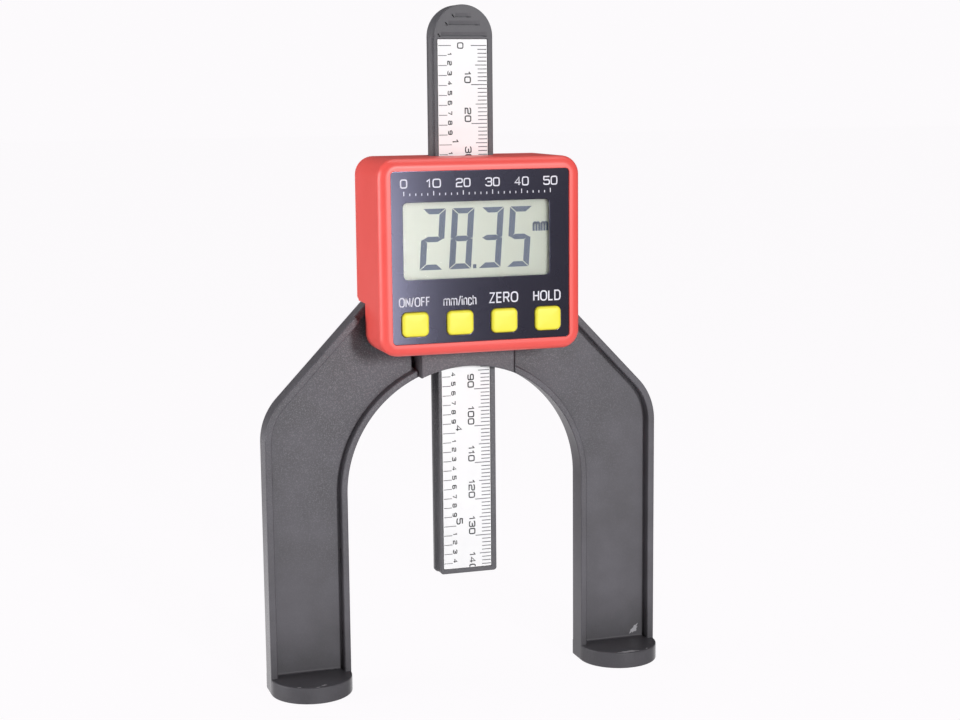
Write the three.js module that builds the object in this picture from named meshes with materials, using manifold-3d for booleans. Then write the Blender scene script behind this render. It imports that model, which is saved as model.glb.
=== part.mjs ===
// A digital depth and height gauge: a black moulded bridge on two magnetic feet, a red display
// housing on its crown, and a black graduated beam that slides through both.
//
// Millimetres, +Z up. X runs across the bridge, the display faces -Y, the feet stand on Z = 0.
// All depths (Y) below are measured from the front face of the beam; the whole gauge is then
// centred front to back on Y = 0 by one group.

import * as THREE from 'three';
import { mergeVertices } from 'three/addons/utils/BufferGeometryUtils.js';
import Module from 'manifold-3d';

const wasm = await Module();
wasm.setup();

// Fits and fineness
const seatGap = 0.3; // clearance round a piece that is seated in another
const slideGap = 0.2; // clearance on each side of a sliding piece
const overrun = 1.5; // how far a cutter reaches past the face it cuts
const cornerSteps = 3; // straight steps in each small rounded corner
const housingSteps = 5; // the same in the housing's corners
const housingRoundSteps = 3; // and round its front and back edges
const archSteps = 24; // steps in the arch
const pocketSteps = 9;
const shoulderSteps = 6;
const footSteps = 14;
const springSteps = 8;
const beamTopSteps = 16;
const roundSides = 20; // sides of pins and bores
const screwSides = 12; // sides of the small screws

// Beam
const beamLength = 150.5;
const beamWidth = 16.4;
const beamDepth = 5.8;
const beamEdge = 0.5; // rounding of the long edges
const tipHeight = 28.35; // the reading in which the gauge is shown
const zeroBelowTop = 10.45; // scale zero under the rounded top
const sideGrooveWidth = 1.4;
const sideGrooveDepth = 0.45;
const sideGrooveSetback = 2.3; // groove behind the beam's front face
const sideGrooveEndMargin = 5;
const gripNotchDepth = 0.5;
const gripNotchRun = 1.7; // length of each ramp under its step
const gripWidths = [5.1, 9.6, 13.2]; // three thumb notches, from the top down
const gripDrops = [3.3, 5.4, 8.1]; // their steps, under the beam's top

// Scale
const labelWidth = 13.3;
const labelThickness = 0.2;
const labelSink = 0.1; // label under the beam's front face
const labelAboveZero = 1.5;
const labelTipMargin = 1.4;
const stripThickness = 0.6;

// Bridge
const bridgeWidth = 108.8;
const archRadius = 32.75;
const archSpring = 52.4; // height where the arch leaves the straight legs
const bridgeDepth = 6.8;
const outerRim = 1.85;
const innerRim = 1.7;
const webSetback = 3.1; // web behind the rims
const rearRecess = 1.6; // lightening pocket in the back
const rearRecessInset = 6; // how far that pocket stays from the display housing's side
const crownRise = 17.1; // top of the shoulders at the display housing, above the arch
const shoulderFall = THREE.MathUtils.degToRad(46.4);
const shoulderRound = 16.5;
const footThickness = 4.4;
const footCentreSetback = 0.45; // centre of the half-round foot, behind the beam's front face
const magnetDiameter = 10;
const magnetThickness = 3;
const magnetLead = 2.5; // magnet's centre, in front of the beam's front face
const magnetSink = 0.3; // magnet's face above the foot's sole

// Beam guide, one with the bridge
const noseHalfWidth = 12.9; // the block under the housing
const noseLead = 3.1; // it stands proud of the rims
const noseRise = 10.85; // its top above the arch
const towerHalfWidth = 11.2;
const towerTopDrop = 2.4; // guide's top under the housing's top
const towerBackWall = 2.05;
const noseSlotWidth = 1.2; // dark slot beside the block
const noseSlotFloor = 1.2; // what is left behind that slot
const housingSeatSink = 1.3; // rims are cut back next to the housing
const housingSeatMargin = 3;

// Display housing
const housingWidth = 53.8;
const housingHeight = 50;
const housingRise = 5.05; // its bottom above the arch
const housingCorner = 4.8;
const housingFrontRound = 2.1;
const housingBackRound = 1.2;
const housingWall = 2;
const borderLead = 0.45; // red border in front of the faceplate
const faceplateLead = 14.45; // faceplate's face in front of the beam
const faceplateThickness = 0.5;
const faceplateMargin = 3.15;
const faceplateCorner = 1;
const backCoverThickness = 2.3;

// Display
const windowLeftMargin = 6.27; // window's edges inside the housing's
const windowRightMargin = 8.43;
const windowTopMargin = 11;
const windowLowMargin = 19.5;
const windowCorner = 0.6;
const lensMargin = 1;
const lensThickness = 1;
const cellMargin = 2;
const cellThickness = 1.9;
const cellGap = 0.35; // between the lens and the display cell
const holderWall = 1;
const zebraWidth = 1.6;

// Buttons
const buttonBar = 4.675; // faceplate between two buttons
const buttonHeight = 6.6;
const buttonCorner = 1.1;
const buttonProud = 1; // above the faceplate
const buttonTravel = 0.5;
const buttonEdge = 0.35;
const buttonRise = 8.2; // row's centre above the housing's bottom
const buttonFlangeLip = 0.6;
const buttonFlangeThickness = 0.8;
const buttonNames = ['power', 'unit', 'zero', 'hold'];

// Boards
const displayBoardDepth = 7.4; // its front face, in front of the beam
const boardThickness = 1.2;
const displayBoardMargin = 1.5; // round the edge, inside the housing's walls
const switchInset = 1; // switch inside its button's outline
const switchHeight = 3.5;
const plungerShare = 0.5; // plunger's diameter over the switch's width
const plungerWell = 1.5;
const chipDiameter = 10;
const chipHeight = 1.3;
const chipDrop = 28; // controller's centre under the housing's top
const headerWidth = 12.7;
const headerHeight = 2.5;
const headerDrop = 13.5;
const sensorBoardMargin = 2; // above the block and under the guide's top

// Screws
const screwDiameter = 2.2;
const screwHeadDiameter = 4.2;
const screwHeadHeight = 1.4;
const screwSlot = 0.6;
const screwBite = 7; // thread held in a boss
const bossDiameter = 4.8;
const topBossInset = 5.1; // centre from the housing's side and top
const lowBossInset = 4;
const smallScrewDiameter = 1.4;
const smallScrewHead = 2.6;
const smallScrewHeadHeight = 0.8;
const smallScrewBite = 3;
const smallBossDiameter = 3.2;
const boardScrewLowRise = 13.4; // above the housing's bottom
const boardScrewTopDrop = 5.2; // under the housing's top
const boardScrewTopSpread = 12.5;
const sensorScrewInset = 1.4; // from the guide's side
const sensorScrewMargin = 3; // from the sensor board's ends

// Lock
const lockDrop = 16.2; // under the housing's top
const lockBossDiameter = 8;
const lockBossReach = 2; // boss behind the guide's back wall
const insertDiameter = 4.4;
const insertLength = 3.1;
const lockShankDiameter = 2.6;
const lockBore = 3.1;
const lockKnobDiameter = 10.5;
const lockKnobDepth = 4.6;
const lockKnobRidges = 20;
const lockKnobRidgeHeight = 0.35;
const lockKnobStandoff = 0.65; // knob clear of the back cover
const padDiameter = 3.2;
const padThickness = 0.75;

// Friction gib
const gibThickness = 0.8;
const gibWidth = 4;
const gibScrewMargin = 2.9; // its ends from the sensor board's screws
const gibRunningGap = 0.1;
const springThickness = 0.22;
const springBow = 0.55;
const springRoom = 0.9; // behind the gib

// Battery
const cellHeight = 5.4;
const batteryScrewMargin = 1.45; // door from the cover screw's head
const tubWall = 0.6;
const tubClearance = 0.15;
const contactThickness = 0.25;
const contactWidth = 4;
const contactLift = 0.35; // spring gap under the cell
const doorThickness = 1.15;
const doorMargin = 0.7; // round the tub
const doorBevel = 0.4;
const doorGap = 0.15;
const doorGripWidth = 7;
const doorGripDepth = 0.4;
const doorGripRuns = 3;

// Levels worked out from the sizes above
const tipLevel = tipHeight;
const beamTop = tipLevel + beamLength;
const scaleZero = beamTop - zeroBelowTop;
const legOuter = bridgeWidth / 2;
const archTop = archSpring + archRadius;
const shoulderHeight = archTop + crownRise;
const noseTop = archTop + noseRise;
const housingBottom = archTop + housingRise;
const housingTop = housingBottom + housingHeight;
const housingHalf = housingWidth / 2;
const towerTop = housingTop - towerTopDrop;
const lockHeight = housingTop - lockDrop;
const borderFront = -faceplateLead - borderLead;
const faceplateBack = -faceplateLead + faceplateThickness;
const wallBack = borderFront + housingWall;
const channelHalf = beamWidth / 2 + slideGap;
const channelFront = -slideGap;
const channelBack = beamDepth + slideGap;
const guideBack = channelBack + towerBackWall;
const coverBack = guideBack + backCoverThickness;
const notchLevel = shoulderHeight + seatGap;
const innerHalf = housingHalf - housingWall;
const boardBack = -displayBoardDepth + boardThickness;
const buttonFace = -faceplateLead - buttonProud;
const windowWidth = housingWidth - windowLeftMargin - windowRightMargin;
const windowHeight = housingHeight - windowTopMargin - windowLowMargin;
const windowShift = (windowLeftMargin - windowRightMargin) / 2;
const windowLevel = housingBottom + windowLowMargin + windowHeight / 2;
const buttonLevel = housingBottom + buttonRise;
const buttonPitch = (housingWidth - 2 * faceplateMargin) / buttonNames.length;
const buttonWidth = buttonPitch - buttonBar;
const switchWidth = buttonWidth - 2 * switchInset;
const plungerDiameter = switchWidth * plungerShare;
const cellDiameter = innerHalf - towerHalfWidth - 2 * (seatGap + tubWall + tubClearance);
const knobBack = coverBack + lockKnobStandoff + lockKnobDepth;
const centring = (-buttonFace - knobBack) / 2;

// Materials
function plastic(colour, roughness) {
  return new THREE.MeshStandardMaterial({ color: colour, roughness, metalness: 0 });
}

function metal(colour, roughness) {
  return new THREE.MeshStandardMaterial({ color: colour, roughness, metalness: 1 });
}

const blackNylon = plastic(0x4a474c, 0.6);
const redAbs = plastic(0xe5322f, 0.35);
const yellowRubber = plastic(0xf6e838, 0.5);
const darkFilm = plastic(0x35343c, 0.3);
const whiteFilm = plastic(0xf4f4f2, 0.5);
const clearAcrylic = plastic(0xdfe6dc, 0.1);
const displayGlass = plastic(0xc9d1bd, 0.2);
const whiteHolder = plastic(0xe8e8e4, 0.5);
const greyElastomer = plastic(0x8c8c90, 0.7);
const greenBoard = plastic(0x1f6b3a, 0.5);
const blackResin = plastic(0x17171a, 0.4);
const blackSwitch = plastic(0x232326, 0.5);
const blackCover = plastic(0x2f2d31, 0.6);
const whiteNylon = plastic(0xe9e6dc, 0.5);
const steel = metal(0xb9bcc0, 0.35);
const brass = metal(0xc9a24b, 0.35);
const nickel = metal(0xc8c8c4, 0.3);
const magnetNickel = metal(0xa8a9ad, 0.3);

// Solids: closed meshes that can be joined and cut
function solidOf(geometry) {
  const bare = geometry.clone();
  bare.deleteAttribute('normal');
  bare.deleteAttribute('uv');
  const welded = mergeVertices(bare);
  return new wasm.Manifold(new wasm.Mesh({
    numProp: 3,
    vertProperties: new Float32Array(welded.attributes.position.array),
    triVerts: new Uint32Array(welded.index.array),
  }));
}

function geometryOf(solid) {
  const mesh = solid.getMesh();
  const geometry = new THREE.BufferGeometry();
  geometry.setAttribute('position', new THREE.BufferAttribute(mesh.vertProperties, 3));
  geometry.setIndex(new THREE.BufferAttribute(mesh.triVerts, 1));
  geometry.computeVertexNormals();
  return geometry;
}

function box(left, right, front, back, low, high) {
  const geometry = new THREE.BoxGeometry(right - left, back - front, high - low);
  geometry.translate((left + right) / 2, (front + back) / 2, (low + high) / 2);
  return geometry;
}

// An outline drawn in X and Z, filled from depth front to depth back.
function slab(outline, front, back) {
  const settings = { depth: back - front, bevelEnabled: false };
  const geometry = new THREE.ExtrudeGeometry(outline, settings);
  geometry.rotateX(Math.PI / 2);
  geometry.translate(0, back, 0);
  return geometry;
}

// The same with both faces' edges rounded; the outline stays the widest section.
function roundedSlab(outline, front, back, rounding, roundSteps) {
  const settings = {
    depth: back - front - 2 * rounding,
    bevelEnabled: true,
    bevelThickness: rounding,
    bevelSize: rounding,
    bevelOffset: -rounding,
    bevelSegments: roundSteps,
  };
  const geometry = new THREE.ExtrudeGeometry(outline, settings);
  geometry.rotateX(Math.PI / 2);
  geometry.translate(0, back - rounding, 0);
  return geometry;
}

// An outline drawn in Y and Z, filled from X = left to X = right.
function sideSlab(outline, left, right) {
  const settings = { depth: right - left, bevelEnabled: false };
  const geometry = new THREE.ExtrudeGeometry(outline, settings);
  const turn = new THREE.Matrix4().set(0, 0, 1, 0, 1, 0, 0, 0, 0, 1, 0, 0, 0, 0, 0, 1);
  geometry.applyMatrix4(turn);
  geometry.translate(left, 0, 0);
  return geometry;
}

// A pin along Y.
function pin(diameter, front, back, x, z, sides = roundSides) {
  const geometry = new THREE.CylinderGeometry(diameter / 2, diameter / 2, back - front, sides);
  geometry.translate(x, (front + back) / 2, z);
  return geometry;
}

function polygon(points) {
  return new THREE.Shape(points.map(([x, y]) => new THREE.Vector2(x, y)));
}

// Points along an arc, both ends included.
function arc(x, z, radius, from, to, steps) {
  const points = [];
  for (let i = 0; i <= steps; i += 1) {
    const angle = from + ((to - from) * i) / steps;
    points.push([x + radius * Math.cos(angle), z + radius * Math.sin(angle)]);
  }
  return points;
}

function roundedRectangle(left, right, low, high, corner, steps = cornerSteps) {
  const quarter = Math.PI / 2;
  return polygon([
    ...arc(right - corner, low + corner, corner, -quarter, 0, steps),
    ...arc(right - corner, high - corner, corner, 0, quarter, steps),
    ...arc(left + corner, high - corner, corner, quarter, 2 * quarter, steps),
    ...arc(left + corner, low + corner, corner, 2 * quarter, 3 * quarter, steps),
  ]);
}

function centredRectangle(x, z, width, height, corner) {
  return roundedRectangle(x - width / 2, x + width / 2, z - height / 2, z + height / 2, corner);
}

// The group that centres the gauge front to back, and the one way pieces get into it.
const gauge = new THREE.Group();
const assembly = new THREE.Group();
assembly.position.y = centring;
gauge.add(assembly);

function place(name, shape, material) {
  const geometry = shape.isBufferGeometry ? shape : geometryOf(shape);
  const mesh = new THREE.Mesh(geometry, material);
  mesh.name = name;
  assembly.add(mesh);
}

// Bridge outline: straight legs, shoulders that fall away from the housing, and the arch
const shoulderCorner = shoulderHeight - (legOuter - housingHalf) * Math.tan(shoulderFall);
const roundTangent = shoulderRound * Math.tan((Math.PI / 2 - shoulderFall) / 2);
const roundCentre = new THREE.Vector2(legOuter - shoulderRound, shoulderCorner - roundTangent);
const roundTurn = Math.PI / 2 - shoulderFall;

// X where the shoulder's slope, moved inwards by inset, stands at a given height.
function slopeAt(height, inset) {
  const drop = shoulderHeight - height - inset / Math.cos(shoulderFall);
  return housingHalf + drop / Math.tan(shoulderFall);
}

function bridgeOutline() {
  const top = slopeAt(shoulderHeight, 0);
  return polygon([
    [-legOuter, 0],
    [-archRadius, 0],
    ...arc(0, archSpring, archRadius, Math.PI, 0, archSteps),
    [archRadius, 0],
    [legOuter, 0],
    ...arc(roundCentre.x, roundCentre.y, shoulderRound, 0, roundTurn, shoulderSteps),
    [top, shoulderHeight],
    [-top, shoulderHeight],
    ...arc(
      -roundCentre.x, roundCentre.y, shoulderRound, Math.PI - roundTurn, Math.PI, shoulderSteps,
    ),
  ]);
}

// The pocket between the rims, right-hand side; its inner end stands at X = inner.
function pocketOutline(inner) {
  const arch = archRadius + innerRim;
  const ceiling = shoulderHeight - outerRim;
  return polygon([
    [arch, footThickness],
    ...arc(0, archSpring, arch, 0, Math.acos(inner / arch), pocketSteps),
    [inner, ceiling],
    [slopeAt(ceiling, outerRim), ceiling],
    ...arc(roundCentre.x, roundCentre.y, shoulderRound - outerRim, roundTurn, 0, shoulderSteps),
    [legOuter - outerRim, footThickness],
  ]);
}

function onBothSides(solid) {
  return solid.add(solid.mirror([1, 0, 0]));
}

// Sensor board screws, in the guide's side walls, and the gib between them
const sensorScrewX = towerHalfWidth - sensorScrewInset;
const sensorScrewLevels = [
  noseTop + sensorBoardMargin + sensorScrewMargin,
  towerTop - sensorBoardMargin - sensorScrewMargin,
];
const gibLow = sensorScrewLevels[0] + gibScrewMargin;
const gibHigh = sensorScrewLevels[1] - gibScrewMargin;

// Screw places shared by the bridge, the housing, the back cover and the screws
const topBoss = { x: housingHalf - topBossInset, z: housingTop - topBossInset };
const lowBoss = { x: housingHalf - lowBossInset, z: housingBottom + lowBossInset };
const legMiddle = (legOuter + archRadius) / 2;
const footRadius = (legOuter - archRadius) / 2;

function buildBridge() {
  let bridge = solidOf(slab(bridgeOutline(), 0, bridgeDepth));
  const slotEdge = noseHalfWidth + noseSlotWidth;
  const pocket = pocketOutline(slotEdge);
  bridge = bridge.subtract(onBothSides(solidOf(slab(pocket, -overrun, webSetback))));
  const rearInner = housingHalf + rearRecessInset;
  const rear = solidOf(slab(pocket, bridgeDepth - rearRecess, bridgeDepth + overrun));
  const rearKeep = box(rearInner, bridgeWidth, 0, bridgeDepth + overrun, 0, housingTop);
  bridge = bridge.subtract(onBothSides(rear.intersect(solidOf(rearKeep))));

  const foot = polygon(arc(0, 0, footRadius, Math.PI, 2 * Math.PI, footSteps));
  const footSolid = new THREE.ExtrudeGeometry(foot, { depth: footThickness, bevelEnabled: false });
  footSolid.translate(legMiddle, footCentreSetback, 0);
  bridge = bridge.add(onBothSides(solidOf(footSolid)));

  const noseFoot = archSpring;
  const nose = box(-noseHalfWidth, noseHalfWidth, -noseLead, guideBack, noseFoot, noseTop);
  const tower = box(-towerHalfWidth, towerHalfWidth, channelFront, guideBack, noseFoot, towerTop);
  const arch = new THREE.CylinderGeometry(
    archRadius, archRadius, 2 * (guideBack + noseLead + overrun), 2 * archSteps,
  );
  arch.translate(0, 0, archSpring);
  const archCut = solidOf(arch);
  const guide = solidOf(nose).add(solidOf(tower)).subtract(archCut);
  const slot = box(
    noseHalfWidth, slotEdge, -overrun, bridgeDepth - noseSlotFloor, noseFoot, shoulderHeight + overrun,
  );
  bridge = bridge.subtract(onBothSides(solidOf(slot))).add(guide);

  const channelLow = noseFoot - overrun;
  const channel = box(
    -channelHalf, channelHalf, channelFront, channelBack, channelLow, towerTop + overrun,
  );
  const openFront = box(
    -channelHalf, channelHalf, channelFront - overrun, channelBack, noseTop, towerTop + overrun,
  );
  bridge = bridge.subtract(solidOf(channel)).subtract(solidOf(openFront));

  const seatHalf = housingHalf + housingSeatMargin;
  const seat = box(
    noseHalfWidth + noseSlotWidth, seatHalf, -overrun, housingSeatSink,
    housingBottom, shoulderHeight + overrun,
  );
  bridge = bridge.subtract(onBothSides(solidOf(seat)));

  const pad = pin(bossDiameter + 2 * seatGap, housingSeatSink, bridgeDepth, lowBoss.x, lowBoss.z);
  bridge = bridge.add(onBothSides(solidOf(pad)));
  const screwHole = pin(
    screwDiameter + 2 * seatGap, -overrun, bridgeDepth + overrun, lowBoss.x, lowBoss.z,
  );
  const headHole = pin(
    screwHeadDiameter + 2 * seatGap, bridgeDepth - screwHeadHeight - seatGap,
    bridgeDepth + overrun, lowBoss.x, lowBoss.z,
  );
  bridge = bridge.subtract(onBothSides(solidOf(screwHole).add(solidOf(headHole))));

  const magnetPocket = new THREE.CylinderGeometry(
    magnetDiameter / 2 + seatGap, magnetDiameter / 2 + seatGap,
    2 * (magnetThickness + magnetSink), roundSides,
  );
  magnetPocket.rotateX(Math.PI / 2);
  magnetPocket.translate(legMiddle, -magnetLead, 0);
  bridge = bridge.subtract(onBothSides(solidOf(magnetPocket)));

  const gibDepth = gibRunningGap + gibThickness + springRoom + seatGap;
  const gibPocket = box(
    channelHalf - overrun / 2, beamWidth / 2 + gibDepth,
    (beamDepth - gibWidth) / 2 - seatGap, (beamDepth + gibWidth) / 2 + seatGap,
    gibLow - seatGap, gibHigh + seatGap,
  );
  bridge = bridge.subtract(solidOf(gibPocket));

  for (const z of sensorScrewLevels) {
    const hole = pin(
      smallScrewDiameter + 2 * seatGap, channelFront - overrun,
      channelFront + smallScrewBite + seatGap, sensorScrewX, z,
    );
    bridge = bridge.subtract(onBothSides(solidOf(hole)));
  }

  const lockBoss = pin(lockBossDiameter, guideBack - overrun, guideBack + lockBossReach, 0, lockHeight);
  const insertSeat = pin(
    insertDiameter + 2 * seatGap, guideBack + lockBossReach - insertLength,
    guideBack + lockBossReach + overrun, 0, lockHeight,
  );
  const padBore = pin(padDiameter + 2 * seatGap, channelBack - overrun, guideBack, 0, lockHeight);
  bridge = bridge.add(solidOf(lockBoss)).subtract(solidOf(insertSeat)).subtract(solidOf(padBore));
  place('bridge_frame', bridge, blackNylon);
}

function buildMagnets() {
  for (const [side, sign] of [['left', -1], ['right', 1]]) {
    const magnet = new THREE.CylinderGeometry(
      magnetDiameter / 2, magnetDiameter / 2, magnetThickness, roundSides,
    );
    magnet.rotateX(Math.PI / 2);
    magnet.translate(sign * legMiddle, -magnetLead, magnetSink + magnetThickness / 2);
    place(`foot_magnet_${side}`, magnet, magnetNickel);
  }
}

// Display board screws: two between the button columns, two at the top edge
const boardScrews = [
  { name: 'lower_left', x: -buttonPitch, z: housingBottom + boardScrewLowRise },
  { name: 'lower_right', x: buttonPitch, z: housingBottom + boardScrewLowRise },
  { name: 'upper_left', x: -boardScrewTopSpread, z: housingTop - boardScrewTopDrop },
  { name: 'upper_right', x: boardScrewTopSpread, z: housingTop - boardScrewTopDrop },
];

const buttonColumns = buttonNames.map((name, i) => ({
  name,
  x: (i - (buttonNames.length - 1) / 2) * buttonPitch,
}));

function housingOutline(inset) {
  return roundedRectangle(
    -housingHalf + inset, housingHalf - inset, housingBottom + inset, housingTop - inset,
    housingCorner - inset, housingSteps,
  );
}

function buttonHole(column, front, back, clearance) {
  const outline = centredRectangle(
    column.x, buttonLevel, buttonWidth + 2 * clearance, buttonHeight + 2 * clearance, buttonCorner,
  );
  return solidOf(slab(outline, front, back));
}

function buildShell() {
  const lead = housingFrontRound + overrun;
  const whole = roundedSlab(
    housingOutline(0), borderFront, guideBack + lead, housingFrontRound, housingRoundSteps,
  );
  const keep = box(
    -housingWidth, housingWidth, borderFront - overrun, guideBack, housingBottom - overrun,
    housingTop + overrun,
  );
  let shell = solidOf(whole).intersect(solidOf(keep));
  shell = shell.subtract(solidOf(slab(housingOutline(housingWall), wallBack, guideBack + overrun)));

  const notch = box(
    -housingWidth, housingWidth, housingSeatSink - seatGap, guideBack + overrun,
    housingBottom - overrun, notchLevel,
  );
  shell = shell.subtract(solidOf(notch));

  const beamDoor = box(
    -channelHalf - seatGap, channelHalf + seatGap, channelFront - seatGap, guideBack + overrun,
    housingTop - housingWall - overrun, housingTop + overrun,
  );
  const noseDoor = box(
    -noseHalfWidth - seatGap, noseHalfWidth + seatGap, -noseLead - seatGap, guideBack + overrun,
    housingBottom - overrun, housingBottom + housingWall + overrun,
  );
  shell = shell.subtract(solidOf(beamDoor)).subtract(solidOf(noseDoor));

  for (const sign of [-1, 1]) {
    const upper = pin(bossDiameter, wallBack, guideBack, sign * topBoss.x, topBoss.z);
    const lowStart = wallBack + buttonFlangeThickness + buttonTravel + 2 * seatGap;
    const lower = pin(
      bossDiameter, lowStart, housingSeatSink - seatGap, sign * lowBoss.x, lowBoss.z,
    );
    const upperHole = pin(
      screwDiameter + 2 * seatGap, guideBack - screwBite - seatGap, guideBack + overrun,
      sign * topBoss.x, topBoss.z,
    );
    const lowerHole = pin(
      screwDiameter + 2 * seatGap, housingSeatSink - screwBite - seatGap,
      housingSeatSink + overrun, sign * lowBoss.x, lowBoss.z,
    );
    shell = shell.add(solidOf(upper)).add(solidOf(lower));
    shell = shell.subtract(solidOf(upperHole)).subtract(solidOf(lowerHole));
  }
  for (const screw of boardScrews) {
    const boss = pin(smallBossDiameter, wallBack - slideGap, -displayBoardDepth, screw.x, screw.z);
    const hole = pin(
      smallScrewDiameter + 2 * seatGap, -displayBoardDepth - smallScrewBite - seatGap,
      -displayBoardDepth + overrun, screw.x, screw.z,
    );
    shell = shell.add(solidOf(boss)).subtract(solidOf(hole));
  }

  const plateSeat = centredRectangle(
    0, housingTop - housingHeight / 2, housingWidth - 2 * faceplateMargin + slideGap,
    housingHeight - 2 * faceplateMargin + slideGap, faceplateCorner,
  );
  shell = shell.subtract(solidOf(slab(plateSeat, borderFront - overrun, faceplateBack)));
  const opening = centredRectangle(
    windowShift, windowLevel, windowWidth + 2 * lensMargin + slideGap,
    windowHeight + 2 * lensMargin + slideGap, windowCorner,
  );
  shell = shell.subtract(solidOf(slab(opening, borderFront - overrun, wallBack + overrun)));
  for (const column of buttonColumns) {
    shell = shell.subtract(buttonHole(column, borderFront - overrun, wallBack + slideGap, slideGap));
  }
  place('housing_shell', shell, redAbs);
}

// Battery place, in the upper right of the housing beside the beam guide
const tubInner = cellDiameter + 2 * tubClearance;
const tubRight = innerHalf - seatGap;
const batteryX = tubRight - tubWall - tubInner / 2;
const tubHalf = tubInner / 2 + tubWall;
const batteryTop = topBoss.z - screwHeadDiameter / 2 - seatGap - batteryScrewMargin;
const batteryZ = batteryTop - doorMargin - tubHalf;
const cellFront = guideBack - slideGap - cellHeight;
const tubFloor = cellFront - contactLift - contactThickness;
const doorLow = batteryZ - tubHalf - doorMargin;
const doorHigh = batteryZ + tubHalf + doorMargin;
const doorLeft = batteryX - tubHalf + tubWall;
const doorFloor = coverBack - doorThickness;

// Section of the battery door in Y and Z: wider inside, so that it slides but can't fall out.
function doorSection(grow) {
  return polygon([
    [doorFloor - grow / 2, doorLow - grow],
    [doorFloor + doorThickness / 2, doorLow - grow],
    [coverBack + grow, doorLow + doorBevel - grow],
    [coverBack + grow, doorHigh - doorBevel + grow],
    [doorFloor + doorThickness / 2, doorHigh + grow],
    [doorFloor - grow / 2, doorHigh + grow],
  ]);
}

// The rounded plate that closes the housing's back; the battery door is cut to the same round.
function coverBlank() {
  const whole = roundedSlab(
    housingOutline(0), guideBack - housingBackRound - overrun, coverBack, housingBackRound,
    housingRoundSteps,
  );
  const keep = box(
    -housingWidth, housingWidth, guideBack, coverBack + overrun, notchLevel, housingTop + overrun,
  );
  return solidOf(whole).intersect(solidOf(keep));
}

function buildBackCover() {
  let cover = coverBlank();

  const tub = centredRectangle(batteryX, batteryZ, 2 * tubHalf, 2 * tubHalf, tubWall);
  const tubSolid = solidOf(slab(tub, tubFloor - tubWall, guideBack + backCoverThickness / 2));
  const well = pin(tubInner, tubFloor, coverBack, batteryX, batteryZ, roundSides);
  const rail = sideSlab(doorSection(doorGap), doorLeft - doorGap, housingWidth);
  cover = cover.add(tubSolid).subtract(solidOf(well)).subtract(solidOf(rail));
  const minusSlot = box(
    batteryX - contactWidth / 2 - slideGap, batteryX + contactWidth / 2 + slideGap,
    tubFloor - tubWall - overrun, tubFloor + overrun / 2,
    batteryZ - tubInner / 2, batteryZ - tubInner / 2 + 2 * contactThickness + 2 * slideGap,
  );
  const plusSlot = box(
    batteryX - contactWidth / 2 - slideGap, batteryX + contactWidth / 2 + slideGap,
    tubFloor - tubWall - overrun, cellFront + cellHeight,
    batteryZ + tubInner / 2 - slideGap, batteryZ + tubHalf + overrun,
  );
  cover = cover.subtract(solidOf(minusSlot)).subtract(solidOf(plusSlot));

  const lockHole = pin(
    lockBossDiameter + 2 * seatGap, guideBack - overrun, coverBack + overrun, 0, lockHeight,
  );
  cover = cover.subtract(solidOf(lockHole));
  for (const sign of [-1, 1]) {
    const hole = pin(
      screwDiameter + 2 * seatGap, guideBack - overrun, coverBack + overrun,
      sign * topBoss.x, topBoss.z,
    );
    const headSeat = pin(
      screwHeadDiameter + 2 * seatGap, coverBack - screwHeadHeight - seatGap,
      coverBack + overrun, sign * topBoss.x, topBoss.z,
    );
    cover = cover.subtract(solidOf(hole)).subtract(solidOf(headSeat));
  }
  place('back_cover', cover, redAbs);
}

function buildBatteryDoor() {
  let door = solidOf(sideSlab(doorSection(0), doorLeft, housingHalf)).intersect(coverBlank());
  const gripLow = batteryZ - doorGripWidth / 2;
  const gripHigh = batteryZ + doorGripWidth / 2;
  for (let run = 0; run < doorGripRuns; run += 1) {
    const x = housingHalf - (run + 1) * 4 * doorGripDepth;
    const groove = box(
      x - doorGripDepth, x + doorGripDepth, coverBack - doorGripDepth, coverBack + overrun,
      gripLow, gripHigh,
    );
    door = door.subtract(solidOf(groove));
  }
  place('battery_door', door, blackCover);
}

function buildBattery() {
  const cell = pin(cellDiameter, cellFront, cellFront + cellHeight, batteryX, batteryZ, roundSides);
  place('button_cell', cell, nickel);

  // The minus leaf lies under the cell and its tail runs forward to the display board.
  const floorLevel = batteryZ - tubInner / 2 + slideGap;
  const leafEnd = batteryZ + tubInner / 4;
  const minus = polygon([
    [boardBack, floorLevel],
    [tubFloor + contactThickness, floorLevel],
    [cellFront - contactThickness / 2, leafEnd],
    [cellFront - contactThickness - contactThickness / 2, leafEnd],
    [tubFloor, floorLevel + 2 * contactThickness],
    [boardBack, floorLevel + contactThickness],
  ]);
  const left = batteryX - contactWidth / 2;
  const right = batteryX + contactWidth / 2;
  place('battery_contact_minus', sideSlab(minus, left, right), nickel);

  const plusLow = batteryZ + tubInner / 2;
  const plus = box(
    left, right, boardBack, cellFront + cellHeight - slideGap, plusLow, plusLow + contactThickness,
  );
  place('battery_contact_plus', plus, nickel);
}

function buildFaceplate() {
  const outline = centredRectangle(
    0, housingTop - housingHeight / 2, housingWidth - 2 * faceplateMargin,
    housingHeight - 2 * faceplateMargin, faceplateCorner,
  );
  outline.holes.push(centredRectangle(
    windowShift, windowLevel, windowWidth, windowHeight, windowCorner,
  ));
  for (const column of buttonColumns) {
    outline.holes.push(centredRectangle(
      column.x, buttonLevel, buttonWidth + 2 * slideGap, buttonHeight + 2 * slideGap, buttonCorner,
    ));
  }
  place('faceplate', slab(outline, -faceplateLead, faceplateBack), darkFilm);
}

// Everything between the lens and the display board
const lensBack = faceplateBack + lensThickness;
const displayFront = lensBack + cellGap;
const displayBack = displayFront + cellThickness;

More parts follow.
